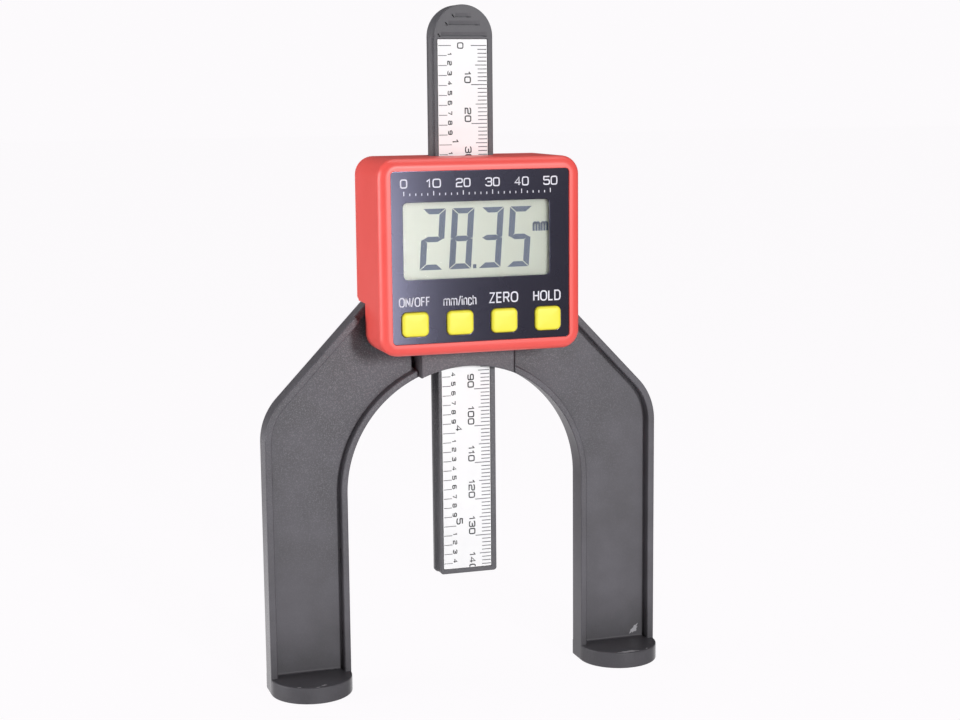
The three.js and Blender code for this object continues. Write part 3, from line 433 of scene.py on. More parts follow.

# %% [markdown]
# ### The liquid crystal display
# The cell is glass over a reflector, a pale grey-green. It is painted lighter towards the left and
# darker to the right, a painted reflection on the cell. The segments are blue-grey rather than
# black, because light passes through them twice.

# %% Display glass
def display_reflector():
    """Two tones along X, lighter on the left as a painted reflection, with a slow wash of noise added to
    the share.
    """
    material, tree, shader = finish("liquid_crystal_reflector", "#d3d8c6", 0.35)
    where = node(tree, "ShaderNodeTexCoord").outputs["Object"]
    across = node(tree, "ShaderNodeSeparateXYZ", {"Vector": where}).outputs["X"]
    # Painted reflection: the colour is lighter on the left and darker on the right across the cell.
    share = node(tree, "ShaderNodeMapRange", {
        "Value": across, "From Min": -20 * MM, "From Max": 19 * MM}).outputs[0]
    wash = node(tree, "ShaderNodeTexNoise", {"Vector": where, "Scale": per_mm(30), "Detail": 1.0})
    painted_sheen_and_clouds = node(tree, "ShaderNodeMath", {
        0: wash.outputs["Fac"], 1: 0.3, 2: share}, operation="MULTIPLY_ADD").outputs[0]
    two_tones(tree, shader, painted_sheen_and_clouds, "#e3e8da", "#c4cabb", 0.15, 1.15)
    return material


reflector = display_reflector()
segment_ink = plain("liquid_crystal_segment", "#4d5a70", 0.4, 0.5, 0.0005, "#54627a")


def clear_plastic():
    """Acrylic that lets all light through, with a faint waviness of some twenty millimetres."""
    material, tree, shader = finish(
        "clear_acrylic_window", "#ffffff", 0.06, IOR=1.49, Transmission_Weight=1.0)
    grain(tree, shader, 20, 0.01, 1.0)
    return material


window_acrylic = clear_plastic()

# %% [markdown]
# ### Metals and boards
# Screws are zinc-plated steel turned on a lathe, the insert and the gib are brass, the cell and
# its contacts are nickel plated. Turned metal has fine rings, so its bump is a stretched noise.
# The boards are glass fibre and epoxy under a green solder mask, with the weave just visible.

# %% Metals and boards
def metal(name, colour, roughness, size, height):
    """Bump and roughness from one noise that is squeezed twelve times along Y, the turning axis."""
    material, tree, shader = finish(name, colour, roughness, Metallic=1.0)
    where = node(tree, "ShaderNodeTexCoord").outputs["Object"]
    stretch = node(tree, "ShaderNodeMapping", {"Vector": where, "Scale": (1.0, 12.0, 1.0)})
    noise = node(tree, "ShaderNodeTexNoise", {
        "Vector": stretch.outputs["Vector"], "Scale": per_mm(size), "Detail": 3.0})
    bump = node(tree, "ShaderNodeBump", {
        "Height": noise.outputs["Fac"], "Distance": height * MM, "Strength": 1.0})
    tree.links.new(bump.outputs["Normal"], shader.inputs["Normal"])
    rough = node(tree, "ShaderNodeMapRange", {
        "Value": noise.outputs["Fac"], "To Min": roughness * 0.8, "To Max": roughness * 1.25})
    tree.links.new(rough.outputs[0], shader.inputs["Roughness"])
    return material


zinc_steel = metal("zinc_plated_steel", "#b9bdc2", 0.32, 0.8, 0.002)
spring_steel = metal("spring_steel", "#a9adb3", 0.28, 1.2, 0.002)
turned_brass = metal("turned_brass", "#c9a250", 0.3, 0.8, 0.002)
nickel_plate = metal("nickel_plate", "#cbc9c2", 0.22, 2.0, 0.001)
magnet_plate = metal("nickel_plated_magnet", "#b4b4b8", 0.3, 1.5, 0.002)


def solder_mask():
    """Two greens along the bands of a wave texture, for the weave under the mask."""
    material, tree, shader = finish("green_solder_mask", "#1e6438", 0.32)
    where = node(tree, "ShaderNodeTexCoord").outputs["Object"]
    weave = node(tree, "ShaderNodeTexWave", {
        "Vector": where, "Scale": per_mm(3.2), "Distortion": 0.4}, bands_direction="DIAGONAL")
    two_tones(tree, shader, weave.outputs["Fac"], "#1b5d33", "#256f40", 0.3, 0.7)
    grain(tree, shader, 0.4, 0.003)
    return material


board_mask = solder_mask()
scuffed_nylon = plain("scuffed_nylon", "#8f8e92", 0.7, 0.2, 0.01, "#a9a8ac")
print("materials", len(bpy.data.materials))

# %% [markdown]
# ## The bridge
# Each leg is a thin web between two rims, like the section of a channel, because that is stiff
# and fills well in a mould. A rim is one profile (rounded outer edges, a flat top, and a small
# fillet down to the web) carried along the leg's edge. The web is a plate between them, and the
# foot is a half-round plate that lies flat.

# %% The bridge's own sizes
HALF_WIDTH = 54.4  # half the bridge's width
ARCH = 32.75  # radius of the arch, which is also half the distance between the legs
SPRING = 52.4  # height of the arch's centre
BACK = 6.8  # depth of the bridge's back face
WEB = 3.1  # depth of the web's front face
REAR_WEB = 5.2  # depth of the web's back face
OUTER_RIM = 1.85  # widths of the rims
INNER_RIM = 1.7
SHOULDER = 102.25  # height at which the slope leaves the housing
FALL = 46.4  # the slope's angle, degrees
BEND = 16.5  # outer radius where the slope turns into the leg
FOOT = 4.4  # thickness of a foot
FOOT_MIDDLE, FOOT_CENTRE = (HALF_WIDTH + ARCH) / 2, 0.45  # across and deep: a foot's centre
NOSE = 12.9  # half the width of the nose in front of the beam
SLOT = 14.1  # half the distance between the webs
GUIDE_BACK = 8.05  # depth of the beam guide's back face
HOUSE_HALF = 26.9  # half the housing's width
corner_low = SHOULDER - (HALF_WIDTH - HOUSE_HALF) * math.tan(math.radians(FALL))
bend_low = corner_low - BEND * math.tan(math.radians((90 - FALL) / 2))


def slope(x):
    """Height of the shoulder's slope at x, from the housing's side outwards."""
    return SHOULDER - (x - HOUSE_HALF) * math.tan(math.radians(FALL))


def arch_height(x):
    """Height of the arch at x: its centre's height plus the root of radius squared less x squared."""
    return SPRING + np.sqrt(ARCH ** 2 - np.square(x))


print("bend starts at", round(bend_low, 2), "arch top", round(float(arch_height(0)), 2))


# %% Rims
LAP = 0.3  # how far the rims reach into the webs


def rim_profile(width, front, fillet, rear):
    """(distance in from the edge, depth) round a rim. Quarter circles of 0.35 at the outer edges,
    a quarter circle the other way where the rim meets the web, the same behind if rear is set.
    Points beside the circles hold the flat faces' shading."""
    e, hold = 0.35, 0.35 + HOLD
    a = np.radians(np.linspace(0, 90, 5))
    s, c = np.sin(a), np.cos(a)
    b = np.radians(np.linspace(0, 90, 7))
    sb, cb = np.sin(b), np.cos(b)
    shape = [[[0.0, front + hold]], np.column_stack([e - e * c, front + e - e * s]),
             [[hold, front], [width - hold, front]],
             np.column_stack([width - e + e * s, front + e - e * c]),
             [[width, front + hold], [width, WEB - fillet - HOLD]],
             np.column_stack([width + fillet - fillet * cb, WEB - fillet + fillet * sb]),
             [[width + fillet + LAP, WEB], [width + fillet + LAP, WEB + 0.8]]]
    if rear:
        r = 0.5
        shape += [[[width + fillet + LAP, REAR_WEB]],
                  np.column_stack([width + r - r * sb, REAR_WEB + r - r * cb]),
                  np.column_stack([width - e + e * c, BACK - e + e * s])]
    else:
        shape += [[[width + fillet + LAP, BACK]]]
    shape += [np.column_stack([e - e * s, BACK - e + e * c]), [[0.0, BACK - hold]]]
    return np.vstack(shape)


def swept(path, normals, profile):
    """The profile carried along the path: point + normal times distance in, at its own depth."""
    spots = path[:, None, :] + normals[:, None, :] * profile[None, :, :1]
    depths = np.broadcast_to(profile[None, :, 1], spots.shape[:2])
    grid = np.stack([spots[..., 0], depths, spots[..., 1]], axis=-1)
    return [skin(list(grid)), fill(grid[0]), fill(grid[-1])]


def side_normals(path, side):
    """Unit normals of an open path: the averages of its neighbouring pieces' normals."""
    along = unit(np.diff(path, axis=0))
    normal = np.column_stack([-along[:, 1], along[:, 0]]) * side
    ends = np.vstack([normal[:1], normal, normal[-1:]])
    first, second = ends[:-1], ends[1:]
    return (first + second) / (1 + np.sum(first * second, axis=1, keepdims=True))


SEAT_EDGE, SEAT = 29.9, 1.3  # as far out as this the rim's front lies deeper, under the housing
REAR_EDGE = 32.9  # as far out as this the back is one full thickness
bend = arc(HALF_WIDTH - BEND, bend_low, BEND, 90 - FALL, 0, 24)
lower_leg = np.array([[HALF_WIDTH, bend_low - 0.5], [HALF_WIDTH, 30.0], [HALF_WIDTH, 0.3]])
outer_path = np.vstack([[[REAR_EDGE, slope(REAR_EDGE)]], bend, lower_leg])
upper_path = np.array([[SEAT_EDGE, slope(SEAT_EDGE)], [REAR_EDGE, slope(REAR_EDGE)]])
seat_path = np.array([[26.0, slope(26.0)], [SEAT_EDGE, slope(SEAT_EDGE)]])
start_angle = math.degrees(math.acos((NOSE - 0.2) / ARCH))
inner_path = np.vstack([arc(0, SPRING, ARCH, start_angle, 0, 50), [[ARCH, 30.0], [ARCH, 0.3]]])
FILLET = 0.35
leg = []
leg += swept(outer_path, side_normals(outer_path, -1), rim_profile(OUTER_RIM, 0, FILLET, True))
leg += swept(upper_path, side_normals(upper_path, -1), rim_profile(OUTER_RIM, 0, FILLET, False))
leg += swept(seat_path, side_normals(seat_path, -1), rim_profile(OUTER_RIM, SEAT, FILLET, False))
leg += swept(inner_path, side_normals(inner_path, 1), rim_profile(INNER_RIM, 0, FILLET, True))


# %% Webs
TUCK = 0.4  # how far the webs end below the shoulder, where the housing covers them


def web_outline(inner_gap, outer_gap, first):
    """The space between the rims: up the arch side, across the top, down the shoulder and leg."""
    radius = ARCH + inner_gap
    begin = math.degrees(math.acos(first / radius))
    fall = math.radians(FALL)
    top = SHOULDER - TUCK
    edge = HOUSE_HALF + (TUCK - outer_gap / math.cos(fall)) / math.tan(fall)
    return np.vstack([
        [[radius, 1.0], [radius, 30.0]],
        arc(0, SPRING, radius, 0, begin, 40),
        [[first, top], [edge, top]],
        arc(HALF_WIDTH - BEND, bend_low, BEND - outer_gap, 90 - FALL, 0, 24),
        [[HALF_WIDTH - outer_gap, 1.0]],
    ])[::-1]


gap_in = INNER_RIM + FILLET + LAP
gap_out = OUTER_RIM + FILLET + LAP
thin = web_outline(gap_in, gap_out, SLOT)
leg += plate(thin, WEB, REAR_WEB, 0.0005, 0.0005, steps=1)
print("web outline", len(thin), "points")


def thick_outline():
    """The part of the web beside the housing that stays full thickness behind."""
    radius = ARCH + gap_in
    begin = math.degrees(math.acos(SLOT / radius))
    end = math.degrees(math.acos(REAR_EDGE / radius))
    fall = math.radians(FALL)
    top = SHOULDER - TUCK
    edge = HOUSE_HALF + (TUCK - gap_out / math.cos(fall)) / math.tan(fall)
    right = slope(REAR_EDGE) - gap_out / math.cos(fall)
    return np.vstack([
        arc(0, SPRING, radius, end, begin, 24), [[SLOT, top], [edge, top], [REAR_EDGE, right]]])


leg += plate(thick_outline(), WEB + 0.8, BACK, 0.01, 0.2, steps=3)


# %% [markdown]
# A foot is a plate like any other, only drawn from above and then laid flat by exchanging its
# axes. A small fillet along the web's lower edge joins the two, as the mould's rounded corner does.

# %% Feet
INSIDE = 0.02  # how far a foot stays inside the leg's own faces


def foot_parts():
    """A half disc joined to a straight back, rounded above and below, lying flat."""
    radius = (HALF_WIDTH - ARCH) / 2 - INSIDE
    outline = np.vstack([
        arc(FOOT_MIDDLE, FOOT_CENTRE, radius, 180, 360, 40),
        [[FOOT_MIDDLE + radius, BACK - INSIDE], [FOOT_MIDDLE - radius, BACK - INSIDE]]])
    return turned(plate(outline, 0.0, FOOT, 0.25, 0.4, steps=5), (0, 2, 1))


def cove(left, right, radius, y, z):
    """The fillet between the web and the foot: a quarter circle in the corner, along X."""
    a = np.radians(np.linspace(0, 90, 9))
    shape = np.vstack([
        np.column_stack([y - radius + radius * np.sin(a) + 0.001, z + radius - radius * np.cos(a)]),
        [[y + 0.6, z + radius], [y + 0.6, z - 0.6], [y - radius, z - 0.6]]])
    rings = [np.column_stack([np.full(len(shape), x), shape]) for x in (left, right)]
    return [skin(rings), fill(rings[0]), fill(rings[1])]


leg += foot_parts()
leg += cove(ARCH + 1.0, HALF_WIDTH - 1.0, 0.5, WEB, FOOT)


# %% [markdown]
# The block between the legs holds the beam's guide: a channel that is open in front only above
# the nose. The nose closes it below the housing, and a narrow slit runs down its right edge, so
# its front is two plates with a gap between them. Behind, a tower carries the channel up through
# the housing and ends in a boss for the lock screw.

# %% Block and guide
def arched(left, right, top, steps=24):
    """An outline whose lower side follows the arch."""
    x = np.linspace(left, right, steps + 1)
    return np.vstack([np.column_stack([x, arch_height(x)]), [[right, top], [left, top]]])


CHANNEL = 8.4  # half the width of the beam's channel
CHANNEL_FRONT, CHANNEL_BACK = -0.2, 6.0  # depths of the channel's front and back walls
NOSE_FRONT, SLIT_FLOOR = -3.1, -2.6  # depths of the nose's front face and of the slit's floor
SLIT_LEFT, SLIT_RIGHT = NOSE - 0.42, NOSE - 0.17
NOSE_TOP, BLOCK_TOP = 97.0, 104.0  # both end out of sight, in the housing
block = plate(arched(-NOSE, NOSE, NOSE_TOP, 48), SLIT_FLOOR, CHANNEL_FRONT, 0.01, 0.01)
for left, right, soft in ((-NOSE, SLIT_LEFT, 0.3), (SLIT_RIGHT, NOSE, 0.05)):
    block += plate(arched(left, right, NOSE_TOP, 48), NOSE_FRONT, SLIT_FLOOR, soft, 0.01)
for left, right in ((-NOSE, -CHANNEL), (CHANNEL, NOSE)):
    block += plate(arched(left, right, NOSE_TOP), CHANNEL_FRONT, CHANNEL_BACK, 0.01, 0.01, steps=1)
block += plate(arched(-NOSE, NOSE, BLOCK_TOP, 48), CHANNEL_BACK, GUIDE_BACK, 0.01, 0.35)
for left, right in ((-SLOT - LAP, -NOSE), (NOSE, SLOT + LAP)):
    block += plate(arched(left, right, SHOULDER, 6), 5.6, BACK, 0.01, 0.01, steps=1)

TOWER_HALF, TOWER_TOP = 11.2, 137.8
LOCK_UP = 124.0  # height of the lock screw's axis
tower = []
for left, right in ((-TOWER_HALF, -CHANNEL), (CHANNEL, TOWER_HALF)):
    wall = rounded(left, right, NOSE_TOP - 0.5, TOWER_TOP, 0.2, 2)
    tower += plate(wall, CHANNEL_FRONT, CHANNEL_BACK, 0.1, 0.01)
wall = rounded(-TOWER_HALF, TOWER_HALF, BLOCK_TOP - 0.5, TOWER_TOP, 0.2, 2)
tower += plate(wall, CHANNEL_BACK, GUIDE_BACK, 0.01, 0.1)
boss = [(2.5, 7.2), (4.0, 7.2), (4.0, 9.9), (3.85, 10.05), (2.5, 10.05)]
tower += solid_of_turning(boss, (0, LOCK_UP))
piece(
    "bridge_dressed", leg + mirrored(leg) + block + tower, bridge_nylon, "bridge_and_housing",
    ("bridge_frame",))

# %% [markdown]
# The mould leaves the round witnesses of its ejector pins low on the webs, as thin rings that
# stand two hundredths of a millimetre proud.

# %% Mould marks
PROUD = 0.02
ring = [(1.15, WEB + 0.05), (1.1, WEB - PROUD), (0.95, WEB - PROUD), (0.85, WEB + 0.05)]
marks = []
for x, up in ((-49.8, 7.5), (-37.6, 6.9), (38.0, 7.2)):
    marks += solid_of_turning(ring, (x, up), 32)
piece("mould_marks", marks, bridge_nylon, "bridge_and_housing")

# %% [markdown]
# Handling leaves pale scuffs where nylon is scraped: a flake low on the right web, a long one on
# the right foot, and short ones along the front edges of the feet. Each is a flat patch with a
# ragged outline, placed by its angle and distance from the foot's middle: a circle whose
# radius follows a few waves, squeezed to its own length and height.

# %% Scuffs
def scuff(length, height, waves):
    """A ragged patch about (0, 0): radius 1 + 0.45 sin(waves a) cos 2a, then scaled both ways."""
    a = np.radians(np.arange(36) * 10)
    r = 1 + 0.45 * np.sin(waves * a) * np.cos(2 * a)
    return np.column_stack([r * np.cos(a) * length / 2, r * np.sin(a) * height / 2])


def slanted(loop, degrees):
    """The patch turned about its middle."""
    c, s = math.cos(math.radians(degrees)), math.sin(math.radians(degrees))
    return loop @ np.array([[c, s], [-s, c]])


scuffs = [fill(at(slanted(scuff(2.9, 1.25, 5), 48) + [49.8, 6.5], WEB - 0.01))]
scuffs.append(fill(at(slanted(scuff(1.4, 0.45, 3), 55) + [49.1, 6.2], WEB - 0.015)))
for foot, angle, out, length, height in (
        (-1, -30, 10.35, 1.1, 0.5), (-1, -2, 10.35, 1.2, 0.5), (-1, 8, 9.4, 1.5, 0.7),
        (1, -4, 9.9, 5.2, 1.1), (1, 30, 10.35, 0.8, 0.4)):
    turn = math.radians(angle)
    x = foot * FOOT_MIDDLE + out * math.sin(turn)
    y = FOOT_CENTRE - out * math.cos(turn)
    patch = slanted(scuff(length, height, 4), angle) + [x, y]
    scuffs.append(fill(np.column_stack([patch, np.full(len(patch), FOOT + 0.01)])))
piece("scuffs", scuffs, scuffed_nylon, "bridge_and_housing")

# %% [markdown]
# ## The housing
# The shell is one moulding open at the back. Its outline is a rounded rectangle; its front edge
# has a large rounding, its border stands a little proud of the faceplate, and its side walls are
# cut away low down so that it sits over the bridge. The rings below run from the faceplate's seat
# over the border and back along the wall, and the last one steps forward under the shoulder.

# %% Housing shell
HOUSE_LOW, HOUSE_TOP = 90.2, 140.2
CORNER = 4.8  # radius of the outline's corners
BORDER, FACE = -14.9, -14.45  # depths of the border's front and of the faceplate's front
NOTCH = 102.55  # height below which the walls stop in front of the bridge


def house_outline():
    """The housing's outline, with doubled points where its walls step forward at the shoulder."""
    right = [[HOUSE_HALF, NOTCH - 0.01], [HOUSE_HALF, NOTCH + 0.01]]
    left = [[-HOUSE_HALF, NOTCH + 0.01], [-HOUSE_HALF, NOTCH - 0.01]]
    x, low, high = HOUSE_HALF - CORNER, HOUSE_LOW + CORNER, HOUSE_TOP - CORNER
    return np.vstack([
        arc(x, low, CORNER, -90, 0, 10), right, arc(x, high, CORNER, 0, 90, 10),
        arc(-x, high, CORNER, 90, 180, 10), left, arc(-x, low, CORNER, 180, 270, 10)])


WALL, SOFT = 2.0, 2.3  # thickness of the walls, radius of the front edge
FRONT_END, BACK_END = 1.0, 7.95  # depths at which the walls end, below and above the shoulder
outline = house_outline()
panel = rounded(-23.75, 23.75, 93.35, 137.05, 1.0, 4)
wall_end = np.where(outline[:, 1] > NOTCH, BACK_END, FRONT_END)
rings = [at(inset(outline, SOFT + HOLD), BORDER)]
rings += [at(inset(outline, SOFT * (1 - math.sin(a))), BORDER + SOFT * (1 - math.cos(a)))
          for a in np.radians(np.linspace(0, 90, 11))]
rings += [at(outline, BORDER + SOFT + HOLD), at(outline, FRONT_END - 0.15)]
rings += [at(outline, wall_end - 0.1), at(inset(outline, 0.1), wall_end)]
rings += [at(inset(outline, WALL), y) for y in (wall_end, FRONT_END, -12.9)]
lip = ((-0.12 - HOLD, 0.0), (-0.12, 0.0), (-0.05, 0.05), (0.0, 0.12), (0.0, 1.0))
seat = [at(inset(panel, d), BORDER + y) for d, y in lip]
shell = [skin(rings), skin(seat), fill(rings[0], seat[0])]
shell += [fill(seat[-1]), fill(rings[-1])]
shell_piece = piece(
    "housing_dressed", shell, red_abs, "bridge_and_housing", ("housing_shell",), 40)

# %% [markdown]
# The window, the four buttons, the beam and the nose need openings in the shell. They go through
# flat and rounded walls alike, so they are cut.

# %% Openings of the shell
WINDOW = (-20.63, 18.47, 109.7, 129.2)  # left, right, low, high
BUTTONS = {"power": -17.8125, "unit": -5.9375, "zero": 5.9375, "hold": 17.8125}  # places across
BUTTON_UP = 98.4


def cutter(outline, front, back):
    """A plain closed solid to cut with."""
    rings = [at(outline, front), at(outline, back)]
    return [skin(rings), fill(rings[0]), fill(rings[1])]


left, right, low, high = WINDOW
front_openings = [rounded(left - 1.1, right + 1.1, low - 1.1, high + 1.1, 0.8)]
front_openings += [rounded(x - 3.8, x + 3.8, BUTTON_UP - 3.5, BUTTON_UP + 3.5, 1.2)
                   for x in BUTTONS.values()]
openings = [cutter(outline, -16, -11) for outline in front_openings]
openings.append(cutter(rounded(-8.7, 8.7, 137.0, 142.0, 0.4), -0.5, 9.0))
openings.append(cutter(rounded(-13.2, 13.2, 89.0, 93.0, 0.4), -3.4, 9.0))
cut(shell_piece, *openings)

# %% [markdown]
# The back cover closes the shell above the bridge. It is a plate with the shell's upper corners, a
# soft rear edge, two screw holes with their seats, a hole for the lock screw and a sunk bay for
# the battery door.

# %% Back cover
COVER_BACK = 10.35
SCREW_OUT, SCREW_UP = 21.8, 135.1  # the cover screws, across and up
cover_outline = np.vstack([
    arc(HOUSE_HALF - 1.0, NOTCH + 1.0, 1.0, -90, 0, 4),
    arc(HOUSE_HALF - CORNER, HOUSE_TOP - CORNER, CORNER, 0, 90, 10),
    arc(-HOUSE_HALF + CORNER, HOUSE_TOP - CORNER, CORNER, 90, 180, 10),
    arc(-HOUSE_HALF + 1.0, NOTCH + 1.0, 1.0, 180, 270, 4)])
holes = [arc(side * SCREW_OUT, SCREW_UP, 2.4, 0, 345, 23) for side in (-1, 1)]
holes.append(arc(0, LOCK_UP, 4.3, 0, 350, 35))
bay = rounded(11.95, 26.0, 116.6, 131.4, 0.4, 3)
cover = plate(cover_outline, 8.1, COVER_BACK, 0.1, 1.2, holes + [bay], 0.12, 6)
cover += plate(rounded(11.3, 26.0, 116.0, 132.0, 0.5, 3), 7.9, 9.1, 0.05, 0.05)
for side in (-1, 1):
    screw_seat = [(1.3, 8.2), (2.6, 8.2), (2.6, 8.6), (1.3, 8.6)]
    cover += solid_of_turning(screw_seat, (side * SCREW_OUT, SCREW_UP), 32)
piece("back_cover_dressed", cover, red_abs, "bridge_and_housing", ("back_cover",), 40)

# %% [markdown]
# ## Drawn lettering
# Every sign is drawn as a plotter would draw it, with strokes of even width. A sign is its width
# as a share of its height, strokes with sharp corners, and strokes whose corners are softened by
# cutting them twice, all on a unit square. Each stroke becomes a ribbon: the path moved sideways
# by half the width, both ways.

# %% Signs
SIGNS = {
    "0": (0.95, [], [
        [(.5, 0), (.86, 0), (1, .14), (1, .86), (.86, 1), (.14, 1), (0, .86), (0, .14), (.14, 0),
         (.5, 0)]]),
    "1": (0.5, [[(0, .72), (.7, 1), (.7, 0)]], []),
    "2": (0.95, [[(0, .2), (0, 0), (1, 0)]], [
        [(0, .78), (0, .86), (.14, 1), (.86, 1), (1, .88), (1, .62), (.86, .5), (.14, .5), (0, .38),
         (0, .2)]]),
    "3": (0.95, [], [
        [(0, .8), (0, .86), (.14, 1), (.86, 1), (1, .88), (1, .62), (.86, .52), (.3, .52)],
        [(.86, .52), (1, .4), (1, .14), (.86, 0), (.14, 0), (0, .14), (0, .2)]]),
    "4": (0.95, [[(.72, 0), (.72, 1), (0, .3), (1, .3)]], []),
    "5": (0.95, [[(1, 1), (.05, 1), (0, .56)]],
          [[(0, .56), (.84, .6), (1, .46), (1, .14), (.86, 0), (.14, 0), (0, .14), (0, .2)]]),
    "6": (0.95, [], [
        [(.95, .9), (.85, 1), (.14, 1), (0, .86), (0, .14), (.14, 0), (.86, 0), (1, .14), (1, .44),
         (.86, .56), (.03, .56)]]),
    "7": (0.9, [[(0, 1), (1, 1), (.45, 0)]], []),
    "8": (0.95, [], [
        [(.5, .53), (.84, .53), (.95, .65), (.95, .88), (.84, 1), (.16, 1), (.05, .88), (.05, .65),
         (.16, .53), (.5, .53)],
        [(.86, .53), (1, .4), (1, .13), (.86, 0), (.14, 0), (0, .13), (0, .4), (.14, .53)]]),
    "9": (0.95, [], [
        [(.05, .1), (.15, 0), (.86, 0), (1, .14), (1, .86), (.86, 1), (.14, 1), (0, .86), (0, .56),
         (.14, .44), (.97, .44)]]),
    "half zero": (0.4, [], [[(1, 0), (.4, 0), (0, .14), (0, .86), (.4, 1), (1, 1)]]),
    "O": (0.72, [], [
        [(.5, 0), (.78, .02), (1, .2), (1, .5), (1, .8), (.78, .98), (.5, 1), (.22, .98), (0, .8),
         (0, .5), (0, .2), (.22, .02), (.5, 0)]]),
    "N": (0.58, [[(0, 0), (0, 1)], [(0, 1), (1, 0)], [(1, 0), (1, 1)]], []),
    "F": (0.48, [[(0, 0), (0, 1), (1, 1)], [(0, .52), (.85, .52)]], []),
    "E": (0.52, [[(1, 1), (0, 1), (0, 0), (1, 0)], [(0, .52), (.92, .52)]], []),
    "Z": (0.56, [[(0, 1), (1, 1), (0, 0), (1, 0)]], []),
    "H": (0.58, [[(0, 0), (0, 1)], [(1, 0), (1, 1)], [(0, .52), (1, .52)]], []),
    "L": (0.48, [[(0, 1), (0, 0), (1, 0)]], []),
    "R": (0.6, [[(0, 0), (0, 1), (.35, 1)], [(0, .48), (.35, .48)], [(.55, .48), (1, 0)]],
          [[(.35, 1), (.97, 1), (.97, .48), (.35, .48)]]),
    "D": (0.64, [[(.4, 0), (0, 0), (0, 1), (.4, 1)]],
          [[(.4, 1), (.72, 1), (1, .82), (1, .5), (1, .18), (.72, 0), (.4, 0)]]),
    "/": (0.28, [[(0, -.03), (1, 1.03)]], []),
    "m": (0.82, [[(0, 0), (0, .74)], [(.5, .5), (.5, 0)], [(1, .5), (1, 0)]],
          [[(0, .48), (.04, .76), (.48, .76), (.5, .5)], [(.5, .48), (.54, .76), (.98, .76), (1, .5)]]),
    "n": (0.42, [[(0, 0), (0, .74)], [(1, .5), (1, 0)]], [[(0, .48), (.1, .76), (.95, .78), (1, .5)]]),
    "h": (0.42, [[(0, 0), (0, 1.02)], [(1, .5), (1, 0)]], [[(0, .48), (.1, .76), (.95, .78), (1, .5)]]),
    "i": (0.02, [[(0, 0), (0, .72)], [(0, .86), (0, 1.02)]], []),
    "c": (0.42, [], [[(1, .54), (.92, .76), (0, .78), (0, .37), (0, -.04), (.92, -.02), (1, .22)]]),
}


def softened(points):
    """Corner cutting, twice: every inner corner gives way to two points, a quarter along its sides."""
    path = np.array(points, float)
    for _ in range(2):
        near, far = path[:-1] * 0.75 + path[1:] * 0.25, path[:-1] * 0.25 + path[1:] * 0.75
        pairs = np.stack([near, far], axis=1).reshape(-1, 2)
        path = np.vstack([path[:1], pairs[1:-1], path[-1:]])
    return path


def lettering(signs, height, gap):
    """The centre lines of a row of signs that starts at (0, 0), in millimetres, and its length."""
    paths, x = [], 0.0
    for sign in signs:
        share, sharp, soft = SIGNS[sign]
        strokes = [np.array(points, float) for points in sharp]
        strokes += [softened(points) for points in soft]
        paths += [stroke * [share * height, height] + [x, 0.0] for stroke in strokes]
        x += share * height + gap
    return paths, x - gap


def ribbon(path, width, depth):
    """Quads along an open path: the path plus and minus half the width along its normals. At a
    sharp corner the normal is long; it is kept to 1.4, so that the corner has no spike."""
    normal = side_normals(path, 1)
    normal = normal / np.maximum(np.linalg.norm(normal, axis=1, keepdims=True) / 1.4, 1)
    side = normal * width / 2
    return skin([at(path - side, depth), at(path + side, depth)], closed=False)


def legend(signs, box, stroke, depth):
    """A row of signs fitted to the box: left, right, low and high, measured over the strokes."""
    left, right, low, high = box
    paths, length = lettering(signs, high - low - stroke, 0.2 + stroke * 1.3)
    stretch = [(right - left - stroke) / length, 1.0]
    start = [left + stroke / 2, low + stroke / 2]
    return [ribbon(path * stretch + start, stroke, depth) for path in paths]


# %% [markdown]
# ## The faceplate and what is printed on it
# The faceplate is a half-millimetre film with a window and four button holes. Its legends are
# drawn signs fitted to measured boxes, and a plain printed scale runs along its top. Each print
# is a flat mesh just above the film, so that it never lies in the film's own plane.

# %% Faceplate
window_hole = rounded(*WINDOW, 1.2, 6)
button_holes = [
    rounded(x - 3.65, x + 3.65, BUTTON_UP - 3.24, BUTTON_UP + 3.24, 1.45, 6) for x in BUTTONS.values()]
film = plate(panel, FACE, -13.95, 0.06, 0.01, [window_hole] + button_holes, 0.01, 2)
piece("faceplate_dressed", film, faceplate_film, "bridge_and_housing", ("faceplate",))


# %% Legends
PRINT = FACE - 0.02
legends = legend("ON/OFF", (-22.0, -13.8, 102.9, 105.35), 0.29, PRINT)
legends += legend("mm/inch", (-10.3, -1.5, 102.75, 105.25), 0.27, PRINT)
legends += legend("ZERO", (1.9, 9.8, 102.95, 105.75), 0.37, PRINT)
legends += legend("HOLD", (13.9, 21.45, 102.95, 105.7), 0.36, PRINT)


def bar(left, right, low, high, depth):
    """A flat rectangle of print."""
    corners = np.array([[left, low], [right, low], [right, high], [left, high]])
    return at(corners, depth), np.array([[0, 1, 2, 3]])


SCALE_START, TENS_PITCH, LINE_PITCH = -20.3, 7.8, 1.56
for tens in range(6):
    x = SCALE_START + tens * TENS_PITCH
    half = 0.95 if tens == 0 else 1.95
    legends += legend(str(tens * 10), (x - half, x + half, 132.8, 135.1), 0.32, PRINT)
for i in range(26):
    x = SCALE_START + i * LINE_PITCH
    legends.append(bar(x - 0.11, x + 0.11, 130.9, 132.0 if i % 5 == 0 else 131.5, PRINT))
piece("faceplate_print", legends, white_ink, "bridge_and_housing")

# %% [markdown]
# ## The display
# The window is clear acrylic; behind it lies the liquid crystal cell. A digit has seven segments
# with mitred ends and thin gaps, and leans a few degrees. Each segment is a six-sided bar, and
# the digits are lists of the segments that are lit.

# %% Window and cell
lens = plate(rounded(-21.6, 19.4, 108.75, 130.15, 0.6, 3), -13.95, -12.95, 0.05, 0.05)
piece("window_dressed", lens, window_acrylic, "bridge_and_housing", ("display_lens",))
cell = plate(rounded(-22.6, 20.4, 107.8, 131.1, 0.3, 2), -12.6, -10.7, 0.05, 0.05)
piece("display_cell_dressed", cell, reflector, "bridge_and_housing", ("lcd_cell",))


